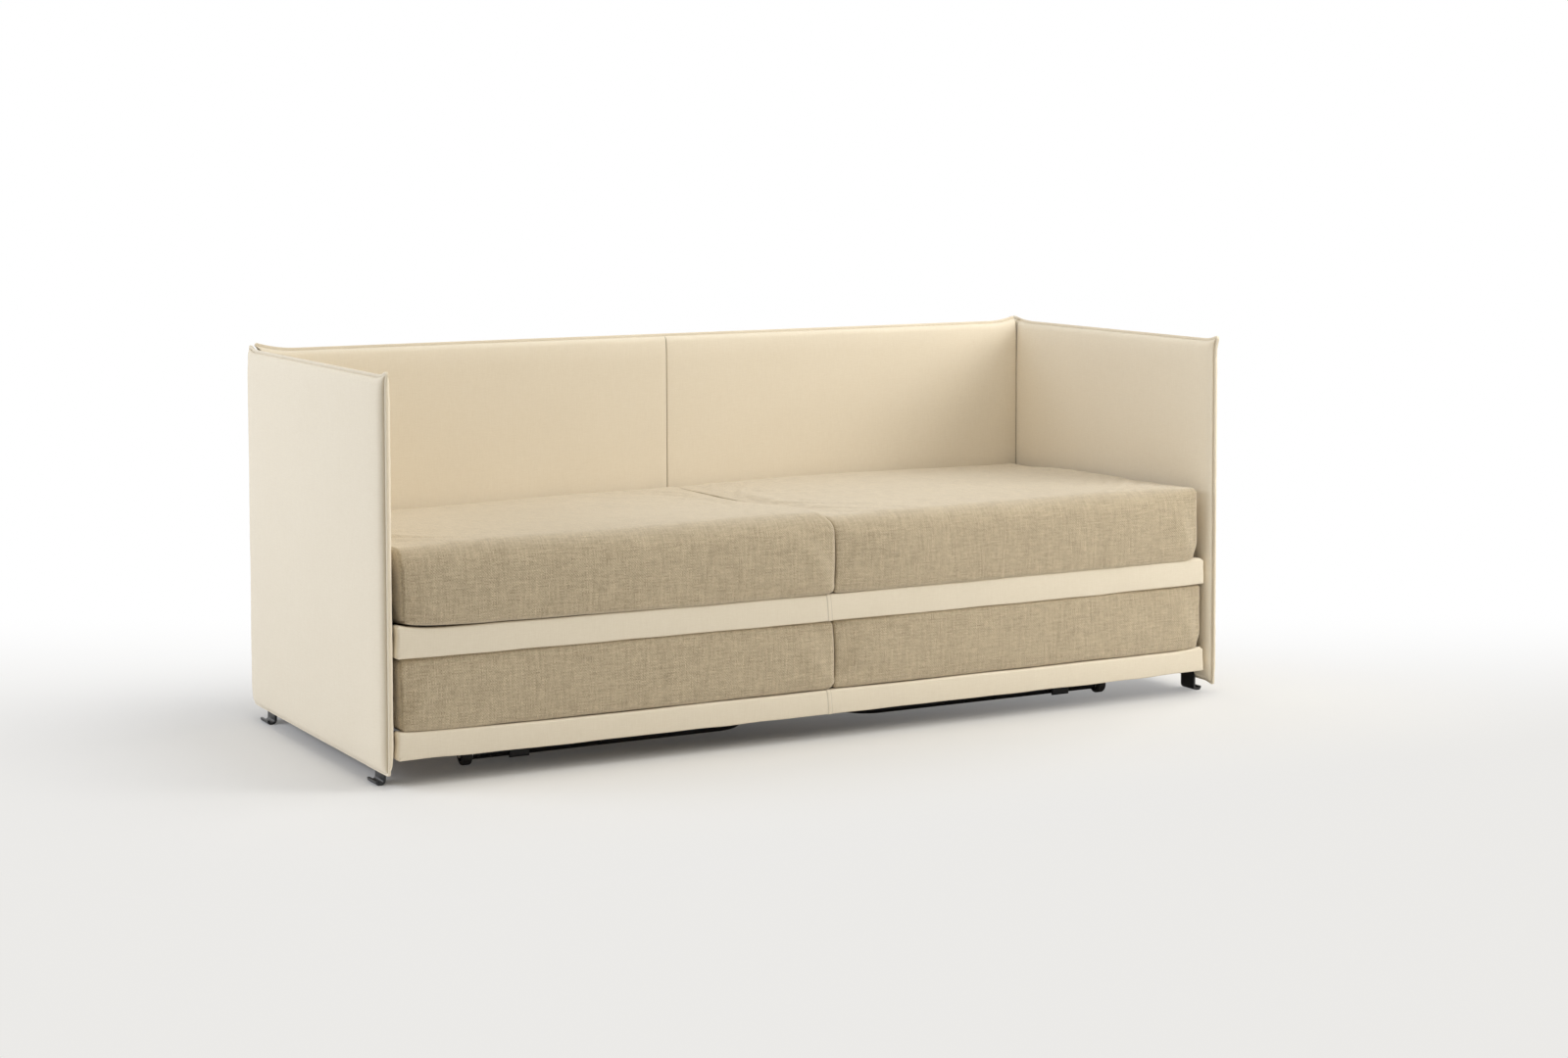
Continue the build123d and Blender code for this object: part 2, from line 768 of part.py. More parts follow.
save("foot_screws", both_sides(foot_screws(front_foot_y) + foot_screws(rear_foot_y)))
save("corner_angles", both_sides([corner_angle(z) for z in angle_places]))
save("corner_screws", both_sides([s for z in angle_places for s in corner_screws(z)]))
save("frame_spacers", both_sides([frame_spacer(y) for y in frame_bolt_places]))
save("frame_bolts", both_sides([frame_bolt(y) for y in frame_bolt_places]))
save("insert_nuts", both_sides([insert_nut(y) for y in frame_bolt_places]))

for level, rail_top, bottom, top, bars, side, crown in (
    ("upper", upper_rail_top, upper_band_bottom, upper_band_top, upper_bar_places,
     upper_cushion_side, upper_cushion_crown),
    ("lower", lower_rail_top, lower_band_bottom, lower_band_top, lower_bar_places,
     lower_cushion_side, lower_cushion_crown),
):
    save(level + "_front_rail", front_rail(rail_top))
    save(level + "_rear_rail", rear_rail(rail_top))
    rail = end_rail(rail_top, level == "upper")
    save(level + "_right_end_rail", rail)
    save(level + "_left_end_rail", mirrored(rail))
    save(level + "_cross_bars", Compound(children=cross_bars(rail_top, bars)))
    save(level + "_slats", Compound(children=slats(top)))
    save(level + "_slat_holders", Compound(children=slat_holders(top)))
    save(level + "_band_board", drilled_band_board(bottom, top))
    save(level + "_band_cover", band_cover(bottom, top))
    save(level + "_band_bolts", Compound(children=band_bolts(top)))
    cover, foam = cushion(top + soft_ease, side, crown)
    save(level + "_right_cushion_cover", cover)
    save(level + "_right_cushion_foam", foam)
    save(level + "_left_cushion_cover", mirrored(cover))
    save(level + "_left_cushion_foam", mirrored(foam))

save("lower_rear_buffers", Compound(children=buffers(lower_rail_top)))

leg = leg_tube()
save("right_leg_tube", leg)
save("left_leg_tube", mirrored(leg))
axles = [axle(y) for y in (-leg_arm_y, leg_arm_y)]
save("right_leg_axles", Compound(children=axles))
save("left_leg_axles", Compound(children=[mirrored(a) for a in axles]))
for place, y in (("front", -leg_arm_y), ("rear", leg_arm_y)):
    hub = wheel_hub(y)
    tyre = wheel_tyre(y)
    save(place + "_right_wheel_hub", hub)
    save(place + "_right_wheel_tyre", tyre)
    save(place + "_left_wheel_hub", mirrored(hub))
    save(place + "_left_wheel_tyre", mirrored(tyre))
save("pivot_brackets", both_sides([pivot_bracket(y) for y in (-bracket_y, bracket_y)]))
save("leg_clips", both_sides([leg_clip(y) for y in (-leg_arm_y, leg_arm_y)]))
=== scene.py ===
"""Trundle sofa bed in a white studio.

Metres; X to the right, Y to the back, Z up, origin on the floor."""

import bmesh
import bpy
import numpy as np
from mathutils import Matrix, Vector


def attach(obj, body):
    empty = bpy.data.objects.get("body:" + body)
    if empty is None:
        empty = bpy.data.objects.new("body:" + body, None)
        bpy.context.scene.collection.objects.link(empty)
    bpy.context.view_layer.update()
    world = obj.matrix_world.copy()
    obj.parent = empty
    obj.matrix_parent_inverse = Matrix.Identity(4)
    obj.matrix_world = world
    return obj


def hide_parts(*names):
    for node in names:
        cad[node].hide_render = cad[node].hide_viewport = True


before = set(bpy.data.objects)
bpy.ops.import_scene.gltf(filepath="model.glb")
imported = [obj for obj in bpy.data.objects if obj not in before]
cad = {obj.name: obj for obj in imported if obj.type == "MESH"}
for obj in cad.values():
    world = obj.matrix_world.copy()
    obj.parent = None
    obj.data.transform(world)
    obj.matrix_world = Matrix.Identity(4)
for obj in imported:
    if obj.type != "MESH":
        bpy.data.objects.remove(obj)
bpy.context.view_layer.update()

MM = 0.001


# Boards. The side and back panels and both front bands are stiffened by birch plywood, 18 mm
# thick, cut from large sheets and left unfinished because padding covers it.

ply_thickness = 1.4 * MM


def new_material(name, roughness, **sockets):
    """Empty material with a principled shader, whose uniform values sit on its own sockets."""
    material = bpy.data.materials.new(name)
    material.use_nodes = True
    shader = material.node_tree.nodes["Principled BSDF"]
    shader.inputs["Roughness"].default_value = roughness
    for socket, value in sockets.items():
        shader.inputs[socket.replace("_", " ")].default_value = value
    return material, shader


def add(material, kind, inputs=None, **settings):
    """Adds a node to a material or to the world. Inputs are values or other nodes' outputs, by the
    socket's name or number."""
    made = material.node_tree.nodes.new(kind)
    for name, value in settings.items():
        setattr(made, name, value)
    for key, value in (inputs or {}).items():
        if isinstance(value, bpy.types.NodeSocket):
            material.node_tree.links.new(value, made.inputs[key])
        else:
            made.inputs[key].default_value = value
    return made


def calc(material, operation, a, b=0.0):
    """Output of a math node."""
    return add(material, "ShaderNodeMath", {0: a, 1: b}, operation=operation).outputs[0]


def times(material, a, b):
    """Product of two values."""
    return calc(material, "MULTIPLY", a, b)


def plus(material, a, b):
    """Sum of two values."""
    return calc(material, "ADD", a, b)


def odd(material, number):
    """1 where a whole number is odd, 0 where it is even."""
    return calc(material, "MODULO", calc(material, "ABSOLUTE", number), 2.0)


def one_axis(material, vector, number):
    """One of a vector's three values."""
    return add(material, "ShaderNodeSeparateXYZ", {0: vector}).outputs[number]


def object_place(material):
    """Place on the object, in metres."""
    return add(material, "ShaderNodeTexCoord").outputs["Object"]


def ramp(material, value, low, high, start=0.0, end=1.0):
    """Value carried from low...high to start...end, and held at both ends."""
    inputs = {0: value, 1: low, 2: high, 3: start, 4: end}
    return add(material, "ShaderNodeMapRange", inputs).outputs[0]


def noise(material, vector, scale, detail=2.0, rough=0.5, stretch=(1, 1, 1)):
    """Output of a noise, its pattern stretched along each axis."""
    moved = add(material, "ShaderNodeMapping", {"Vector": vector, "Scale": stretch}).outputs[0]
    inputs = {"Vector": moved, "Scale": scale, "Detail": detail, "Roughness": rough}
    return add(material, "ShaderNodeTexNoise", inputs).outputs[0]


def blended(material, share, low, high):
    """Colour between low and high by share. Each is a linear colour or another node's output."""
    made = add(material, "ShaderNodeMix", data_type="RGBA")
    material.node_tree.links.new(share, made.inputs[0])
    for socket, colour in ((6, low), (7, high)):
        if isinstance(colour, bpy.types.NodeSocket):
            material.node_tree.links.new(colour, made.inputs[socket])
        else:
            made.inputs[socket].default_value = (*colour, 1)
    return made.outputs[2]


def coloured(material, shader, colour):
    """Puts a colour output on the shader."""
    material.node_tree.links.new(colour, shader.inputs["Base Color"])


def bumped(material, shader, height, depth):
    """Bump of that depth in metres on the shader."""
    made = add(material, "ShaderNodeBump", {"Height": height, "Distance": depth, "Strength": 1.0})
    material.node_tree.links.new(made.outputs[0], shader.inputs["Normal"])


def linear(red, green, blue):
    """Linear colour from the eight-bit one that a screen shows."""
    value = np.array([red, green, blue]) / 255
    return tuple(np.where(value <= 0.04045, value / 12.92, ((value + 0.055) / 1.055) ** 2.4))


def birch_ply(name, across, grain):
    """Plywood, laid across one axis with its grain along another. Faces: a noise drawn out along
    the grain. Edges, where the normal lies off the across axis: every other ply is darker, because
    its fibres are seen end on."""
    material, shader = new_material(name, 0.62, Specular_IOR_Level=0.35)
    place = object_place(material)
    normal = add(material, "ShaderNodeNewGeometry").outputs["Normal"]
    facing = calc(material, "ABSOLUTE", one_axis(material, normal, across))
    on_edge = calc(material, "LESS_THAN", facing, 0.5)
    way = calc(material, "DIVIDE", one_axis(material, place, across), ply_thickness)
    end_grain = times(material, odd(material, calc(material, "FLOOR", way)), on_edge)
    stretch = [70.0, 70.0, 70.0]
    stretch[grain] = 4.0
    fibre = noise(material, place, 1.0, 6.0, 0.6, stretch)
    figure = noise(material, place, 3.0, 3.0, 0.5, [s / 40 for s in stretch])
    tone = plus(material, times(material, fibre, 0.6), times(material, figure, 0.4))
    tone = calc(material, "SUBTRACT", tone, times(material, end_grain, 0.35))
    tone = ramp(material, tone, 0.1, 0.72)
    tone = blended(material, tone, linear(140, 104, 70), linear(222, 196, 156))
    coloured(material, shader, tone)
    bumped(material, shader, fibre, 0.15 * MM)
    return material


def dressed(material, *names):
    """Gives CAD nodes a material."""
    for name in names:
        slots = cad[name].data.materials
        slots.clear()
        slots.append(material)


dressed(birch_ply("side_board_ply", across=0, grain=2), "left_panel_board", "right_panel_board")
dressed(birch_ply("long_board_ply", across=1, grain=0),
        "back_panel_board", "upper_band_board", "lower_band_board")


# Steel fittings. Flat feet, box tube rails and cross bars, and the brackets of the legs are welded
# or bent mild steel, powder coated satin black. The feet rub on the floor.

rubbed_height = 14 * MM


def roughened(material, shader, roughness):
    """Puts a roughness output on the shader."""
    material.node_tree.links.new(roughness, shader.inputs["Roughness"])


def uneven(material, broad, roughness):
    """Roughness from a little under the given one to a little over it, by a broad noise."""
    return ramp(material, broad, 0.3, 0.7, roughness - 0.06, roughness + 0.1)


def black_coat(name, roughness, rubbed=False):
    """Powder coat: a faint skin like an orange's from a 1.6 mm noise, duller where a broad noise is
    high, a little dust on faces that look up, and on rubbed parts scratches that bare grey metal
    near the floor."""
    material, shader = new_material(name, roughness, Specular_IOR_Level=0.5, Coat_Weight=0.12,
                                    Coat_Roughness=0.25)
    place = object_place(material)
    normal = add(material, "ShaderNodeNewGeometry").outputs["Normal"]
    skin = noise(material, place, 620.0, 2.0, 0.45)
    broad = noise(material, place, 9.0, 4.0, 0.6)
    up = ramp(material, one_axis(material, normal, 2), 0.6, 1.0)
    dust = times(material, up, ramp(material, noise(material, place, 60.0, 6.0, 0.7), 0.42, 0.7))
    spread = ramp(material, broad, 0.3, 0.7)
    tone = blended(material, spread, (0.011, 0.011, 0.012), (0.021, 0.021, 0.022))
    tone = blended(material, times(material, dust, 0.3), tone, (0.11, 0.105, 0.098))
    rough = uneven(material, broad, roughness)
    if rubbed:
        low = ramp(material, one_axis(material, place, 2), rubbed_height, 0.0)
        rubs = noise(material, place, 320.0, 4.0, 0.6, (0.25, 1.0, 1.0))
        scratch = times(material, low, ramp(material, rubs, 0.55, 0.68))
        tone = blended(material, times(material, scratch, 0.5), tone, (0.14, 0.14, 0.145))
        rough = plus(material, rough, times(material, scratch, 0.15))
    coloured(material, shader, tone)
    roughened(material, shader, rough)
    bumped(material, shader, skin, 0.05 * MM)
    return material


frame_coat = black_coat("frame_coat", 0.42)
foot_coat = black_coat("foot_coat", 0.36, rubbed=True)
corner_names = ("front_left", "front_right", "rear_left", "rear_right")
frame_parts = ("front_rail", "rear_rail", "left_end_rail", "right_end_rail", "cross_bars")
dressed(foot_coat, *[f"{corner}_foot" for corner in corner_names])
dressed(frame_coat, "pivot_brackets")
dressed(frame_coat, *[f"{level}_{part}" for level in ("upper", "lower") for part in frame_parts])


# Corner angles, screws, bolts, insert nuts and wheel axles. Pressed, rolled or turned steel, zinc
# plated, which gives a bright grey with a bluish and yellowish bloom.

zinc, zinc_shader = new_material("zinc_plate", 0.32, Metallic=1.0)
zinc_place = object_place(zinc)
bloom = ramp(zinc, noise(zinc, zinc_place, 160.0, 3.0, 0.6), 0.35, 0.65)
coloured(zinc, zinc_shader, blended(zinc, bloom, (0.52, 0.55, 0.60), (0.66, 0.63, 0.55)))
roughened(zinc, zinc_shader, ramp(zinc, noise(zinc, zinc_place, 900.0, 3.0), 0.3, 0.7, 0.24, 0.42))
bumped(zinc, zinc_shader, noise(zinc, zinc_place, 2400.0, 2.0), 0.02 * MM)
dressed(zinc, "foot_screws", "corner_angles", "corner_screws", "frame_bolts", "insert_nuts",
        "upper_band_bolts", "lower_band_bolts", "left_leg_axles", "right_leg_axles")


# Slats and small moulded parts. Bowed strips of laminated beech, lacquered, spring under the
# mattress. Their ends sit in black plastic holders on the rails. The spacers and the leg clips are
# of the same plastic, and the buffers are rubber.

beech, beech_shader = new_material("lacquered_beech", 0.4, Coat_Weight=0.25, Coat_Roughness=0.2)
beech_place = object_place(beech)
grain = noise(beech, beech_place, 1.0, 6.0, 0.62, (150, 5, 150))
streak = noise(beech, beech_place, 1.0, 2.0, 0.5, (14, 1.2, 14))
fleck = ramp(beech, noise(beech, beech_place, 1.0, 2.0, 0.5, (900, 130, 900)), 0.62, 0.7, 0.0, 0.5)
tone = ramp(beech, plus(beech, times(beech, grain, 0.55), times(beech, streak, 0.45)), 0.3, 0.7)
tone = blended(beech, tone, linear(196, 152, 108), linear(226, 190, 148))
coloured(beech, beech_shader, blended(beech, fleck, tone, linear(150, 104, 66)))
roughened(beech, beech_shader, ramp(beech, grain, 0.3, 0.7, 0.34, 0.46))
bumped(beech, beech_shader, grain, 0.06 * MM)
dressed(beech, "upper_slats", "lower_slats")


def moulded(name, low, high, roughness, grain_size, depth):
    """Moulded part: a fine leathery skin from a cell noise, with a broad change of tone."""
    material, shader = new_material(name, roughness, Specular_IOR_Level=0.45)
    place = object_place(material)
    cells = add(material, "ShaderNodeTexVoronoi", {"Vector": place, "Scale": 1 / grain_size})
    broad = noise(material, place, 22.0, 4.0, 0.6)
    coloured(material, shader, blended(material, ramp(material, broad, 0.3, 0.7), low, high))
    roughened(material, shader, uneven(material, broad, roughness))
    bumped(material, shader, cells.outputs["Distance"], depth)
    return material


black_plastic = moulded("black_plastic", (0.014, 0.014, 0.015), (0.024, 0.024, 0.025),
                        0.46, grain_size=1.1 * MM, depth=0.05 * MM)
black_rubber = moulded("black_rubber", (0.020, 0.020, 0.020), (0.050, 0.048, 0.046),
                       0.78, grain_size=0.6 * MM, depth=0.06 * MM)
dressed(black_plastic, "upper_slat_holders", "lower_slat_holders", "leg_clips", "frame_spacers")
dressed(black_rubber, "lower_rear_buffers")


# Folding legs. One round black tube each side, bent to a U, that turns in the pivot brackets. Each
# free end has a wheel of black plastic with a rubber tyre, whose dark grey is lighter in broad
# patches.

tube_coat = black_coat("tube_coat", 0.28, rubbed=True)
tyre_rubber = moulded("tyre_rubber", (0.022, 0.022, 0.022), (0.062, 0.060, 0.057),
                      0.72, grain_size=0.8 * MM, depth=0.06 * MM)
dressed(tube_coat, "left_leg_tube", "right_leg_tube")
dressed(black_plastic, *[f"{corner}_wheel_hub" for corner in corner_names])
dressed(tyre_rubber, *[f"{corner}_wheel_tyre" for corner in corner_names])


# Side panels. The board is wrapped in foam and a close-woven cream cloth, cut as an outer and an
# inner face that are sewn together all round. The turnings stand out of the seam's groove as a thin
# double fin, stitched through, which pulls out to a small ear at each upper corner.

panel_half_depth = 426 * MM
panel_half_height = 403.5 * MM
panel_mid_z = 431.5 * MM
panel_mid_x = 1022.5 * MM
panel_half_thickness = 17.5 * MM
tight_roll = 12 * MM
slack_roll = 55 * MM
pressed_roll = 1.2 * MM
shoulder_height = 1.7 * MM
shoulder_run = 2.5 * MM
shoulder_fade = 9 * MM
face_pitch = 9 * MM
fin_depth = 7 * MM
fin_half_thickness = 1.5 * MM
fin_pitch = 10 * MM
ear_thickening = 25 * MM
stitch_pitch = 3.6 * MM
stitch_length = 2.6 * MM
stitch_half_width = 0.35 * MM
fibre_share = 0.22
# Darkness of the painted shade in seams and grooves, as a share of the cloth's darker tone.
seam_shade_tone = 0.16
close_rows = np.array([0, 0.3, 0.7, 1.2, 1.9, 2.8, 4, 5.6, 7.8, 10.6, 14, 18.5, 25, 34]) * MM


def rows(low, high, pitch, extra=(), near=close_rows):
    """Places from low to high: the near ones at both ends, pitch apart between, and any extra."""
    first, last = low + near, high - near[::-1]
    count = max(int(round((last[0] - first[-1]) / pitch)), 2)
    middle = np.linspace(first[-1], last[0], count + 1)[1:-1]
    return np.unique(np.round(np.concatenate([first, middle, last, np.asarray(extra, float)]), 7))


def unit(x):
    """x, held between 0 and 1."""
    return np.clip(x, 0, 1)


def quarter(x):
    """Rises as a quarter circle from 0 at x = 0 to 1 at x = 1, and stays there."""
    return np.sqrt(1 - (1 - unit(x)) ** 2)


def bell(x, width):
    """Bell curve: 1 at x = 0, falling off over the width."""
    return np.exp(-(x / width) ** 2)


def fade(x, run):
    """Exponential fall: 1 at x = 0 and 0.37 at the run."""
    return np.exp(-x / run)


def ripple(seed, u, v, size, depth):
    """Sum of six sine waves over (u, v), of about that size from crest to crest, in seeded
    directions."""
    dice = np.random.default_rng(seed)
    total = 0
    for _ in range(6):
        turn, phase = dice.uniform(0, 2 * np.pi, 2)
        wave = 2 * np.pi / (size * dice.uniform(0.6, 1.7))
        total = total + np.sin(wave * (u * np.cos(turn) + v * np.sin(turn)) + phase)
    return total * depth / 6


def joined(patches):
    """Points of all patches in one list, the first of each set of equal ones, and the set that each
    point belongs to."""
    points = np.concatenate([points.reshape(-1, 3) for points, _, _ in patches])
    _, first, same = np.unique(np.round(points, 6), axis=0, return_index=True, return_inverse=True)
    return points, first, same.ravel()


def cloth_object(name, patches):
    """One closed surface from several grids. Each patch is its points (rows, columns, 3), its flat
    pattern in metres (rows, columns, 2) and its painted shade in seams and grooves, from 0 to 1
    (rows, columns), kept on the mesh. Four neighbours make a face, equal points are joined, and the
    normals are turned outwards."""
    points, first, same = joined(patches)
    pattern = np.concatenate([flat.reshape(-1, 2) for _, flat, _ in patches])
    seam_shade = np.concatenate([(deep + 0 * grid[..., 0]).ravel() for grid, _, deep in patches])
    faces, start = [], 0
    for grid, _, _ in patches:
        index = start + np.arange(grid[..., 0].size).reshape(grid.shape[:2])
        square = [index[:-1, :-1], index[1:, :-1], index[1:, 1:], index[:-1, 1:]]
        faces.append(np.stack(square, -1).reshape(-1, 4))
        start += index.size
    faces = np.concatenate(faces)
    mesh = bpy.data.meshes.new(name)
    mesh.vertices.add(len(first))
    mesh.vertices.foreach_set("co", points[first].ravel())
    mesh.loops.add(faces.size)
    mesh.loops.foreach_set("vertex_index", same[faces].ravel())
    mesh.polygons.add(len(faces))
    mesh.polygons.foreach_set("loop_start", np.arange(0, faces.size, 4))
    mesh.update(calc_edges=True)
    mesh.uv_layers.new(name="pattern").data.foreach_set("uv", pattern[faces].ravel())
    # The painted shade goes on the mesh as a point attribute, read by the cloth's colour.
    mesh.attributes.new("seam_shade", "FLOAT", "POINT").data.foreach_set("value", seam_shade[first])
    shell = bmesh.new()
    shell.from_mesh(mesh)
    bmesh.ops.recalc_face_normals(shell, faces=shell.faces)
    shell.to_mesh(mesh)
    shell.free()
    mesh.shade_smooth()
    piece = bpy.data.objects.new(name, mesh)
    bpy.context.scene.collection.objects.link(piece)
    return piece


def finished(piece, body, slot, material, *stands_for):
    """Gives a piece its material and its body, and hides the CAD nodes it stands for. The slot is
    not used.
    """
    piece.data.materials.append(material)
    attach(piece, body)
    if stands_for:
        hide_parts(*stands_for)


def rounded(u, v, half_u, half_v, radius):
    """Rounds the four corners of a section about its middle: in the corner square, of side radius,
    a point keeps its direction from the square's inner corner and goes to the same share of the
    arc."""
    over_u = np.maximum(np.abs(u) - (half_u - radius), 0)
    over_v = np.maximum(np.abs(v) - (half_v - radius), 0)
    length = np.hypot(over_u, over_v)
    share = np.where(length > 0, np.maximum(over_u, over_v) / np.maximum(length, 1e-9), 1)
    return u - np.sign(u) * over_u * (1 - share), v - np.sign(v) * over_v * (1 - share)


def pulled(s, t, half_s, half_t, ears):
    """Draws the corners out or in. Each corner, named by its signs, has its moves along s and along
    t and the run of each in millimetres. A move grows with the square of the way into its run and
    with the sixth power of the way from the middle to the edge that it moves."""
    out_s, out_t = s, t
    for (sign_s, sign_t), (far_s, far_t, run_s, run_t) in ears.items():
        here = (s * sign_s > 0) & (t * sign_t > 0)
        way_s = unit(1 - (half_t - np.abs(t)) / (run_s * MM)) ** 2 * (np.abs(s) / half_s) ** 6
        way_t = unit(1 - (half_s - np.abs(s)) / (run_t * MM)) ** 2 * (np.abs(t) / half_t) ** 6
        out_s = out_s + here * sign_s * far_s * MM * way_s
        out_t = out_t + here * sign_t * far_t * MM * way_t
    return out_s, out_t


def panel_faces(half_s, half_t, fin_s, ears, seed, seam_at=None, crease_at=None):
    """Outer and inner face of a panel. At (s, t) the face stands at the fin's half thickness plus
    the rest of the panel's times roll(s) times roll(t), where roll is half a tight quarter circle
    and half a slack one, plus slight ripples. An end that is pressed against another panel, whose
    fin is thinner, keeps its thickness to within the pressed roll. Next to the fin the face bulges
    outwards by a shoulder, which rises within its run and then fades, so the fin stands in a
    groove. A seam down the middle is a narrow bell-shaped groove, and a crease a shallow one. Next
    to the fin, along a pressed end and down the middle seam the face carries painted shade, which
    darkens the cloth there."""
    root_s, root_t = half_s - fin_s, half_t - fin_depth
    pressed = fin_s != fin_depth
    seam_rows, crease_rows = [], []
    if seam_at is not None:
        steps = np.array([0, 0.5, 1, 1.6, 2.6, 4, 7, 12]) * MM
        seam_rows = np.concatenate([seam_at - steps, seam_at + steps])
    if crease_at is not None:
        crease_rows = crease_at + np.array([-7, -4, -2, 0, 2, 4, 7]) * MM
    s, t = np.meshgrid(rows(-root_s, root_s, face_pitch, seam_rows),
                       rows(-root_t, root_t, face_pitch, crease_rows), indexing="ij")
    in_s, in_t = root_s - np.abs(s), root_t - np.abs(t)
    tight_s, share_s = (pressed_roll, 0.8) if pressed else (tight_roll, 0.5)
    roll = 1
    for inset, tight, share in ((in_s, tight_s, share_s), (in_t, tight_roll, 0.5)):
        roll = roll * (share * quarter(inset / tight) + (1 - share) * quarter(inset / slack_roll))
    inset = np.minimum(in_s, in_t)
    edge = fade(inset, 16 * MM) * quarter(inset / (8 * MM))
    shoulder_s, shoulder_t = [
        shoulder_height * quarter(way / shoulder_run) * fade(way, shoulder_fade)
        for way in (in_s, in_t)]
    # Painted shade next to the fin; a pressed end also gets a painted dark line, fading near the
    # top.
    seam_shade = 0.2 * fade(inset, 1.2 * MM)
    if pressed:
        shoulder_s = 0 * shoulder_s
        seam_shade = np.maximum(seam_shade, bell(in_s, 2.4 * MM) * quarter((root_t - t) / (14 * MM)))
        edge = edge * quarter(in_s / (60 * MM))
    patches = []
    for side in (-1, 1):
        rise = fin_half_thickness + (panel_half_thickness - fin_half_thickness) * roll
        rise = rise + ripple(seed + side, s, t, 240 * MM, 0.8 * MM) * roll
        rise = rise + ripple(seed + side + 7, s, t, 34 * MM, 0.9 * MM) * edge
        dark = seam_shade
        if seam_at is not None:
            off = s - seam_at
            rise = rise - (2.6 * MM * bell(off, 1.2 * MM) + 0.9 * MM * bell(off, 10 * MM)) * roll
            # Painted shade down the middle seam.
            dark = np.maximum(seam_shade, 0.8 * bell(off, 0.9 * MM))
        if crease_at is not None and side == -1:
            groove = 1.3 * MM * bell(t - crease_at, 3 * MM)
            rise = rise - groove * fade(s + root_s, 22 * MM) * roll
        out_s, out_t = pulled(s + np.sign(s) * shoulder_s, t + np.sign(t) * shoulder_t,
                              root_s, root_t, ears)
        points = np.stack([out_s, out_t, side * rise], -1)
        patches.append((points, np.stack([s + 3 * side, t], -1), dark))
    return patches


def panel_fin(half_s, half_t, fin_s, ears, seed):
    """Fin round a panel. Its section is two folded edges side by side, each a half circle at the
    tip, carried round the four sides at h outside the root. Each corner is rounded to a radius of
    0.9 h and is up to twice as thick near its tip. The fin leans to and fro by sines with a whole
    number of waves round the panel, more towards its tip."""
    turn = np.linspace(-0.5, 1 / 3, 7) * np.pi
    fold = fin_half_thickness / 2
    tip_h = fin_depth - fold + fold * np.cos(turn)
    tip_w = fold * np.sin(turn) - fold
    stem = np.array([-2, 0, 1.2, 3.4]) * MM
    h = np.concatenate([stem, tip_h, tip_h[::-1], stem[::-1], stem[:1]])
    w = np.concatenate([[-2 * fold] * 4, tip_w, -tip_w[::-1], [2 * fold] * 4, [-2 * fold]])
    across = np.concatenate([[0], np.cumsum(np.hypot(np.diff(h), np.diff(w)))])
    root = np.array([half_s - fin_s, half_t - fin_depth])
    share = np.array([fin_s / fin_depth, 1.0])
    length = 4 * root.sum()
    dice = np.random.default_rng(seed)
    waves = [(count, dice.uniform(0.3, 1) * 0.84 * MM / np.sqrt(count), dice.uniform(0, 6.28))
             for count in (7, 13, 22, 37, 58, 83)]
    made, gone = [], 0
    for out_s, out_t in ((1, 0), (0, 1), (-1, 0), (0, -1)):
        normal, way = (0, 1) if out_s else (1, 0)
        run = root[way]
        part = rows(-1, 1, fin_pitch / run)[:, None]
        s_t = [None, None]
        s_t[normal] = (out_s + out_t) * (root[normal] + h * share[normal]) + 0 * part
        s_t[way] = (out_s - out_t) * part * (root[way] + h * share[way])
        travel = gone + (1 + part) * run + 0 * h
        gone += 2 * run
        lean = sum(size * np.sin(2 * np.pi * count * travel / length + phase)
                   for count, size, phase in waves) * unit(h / fin_depth)
        over = np.maximum(h, 0)
        s_t = rounded(*s_t, root[0] + over * share[0], root[1] + over, 0.9 * over)
        near = [unit((np.abs(place) - corner) / ear_thickening + 1)
                for place, corner in zip(s_t, root)]
        thick = w * (1 + near[0] * near[1] * over / fin_depth)
        s, t = pulled(*s_t, *root, ears)
        # Painted shade at the fin's root.
        seam_shade = 0.12 * fade(np.maximum(h - 0.6 * MM, 0), 0.8 * MM) + 0 * part
        points = np.stack([s, t, thick + lean], -1)
        made.append((points, np.stack([travel, across + 0 * travel], -1), seam_shade))
    return made


def stood(patches, place):
    """Carries panel coordinates (s, t, w) to the object's axes with place."""
    return [(np.stack(place(*np.moveaxis(points, -1, 0)), -1), flat, seam_shade)
            for points, flat, seam_shade in patches]


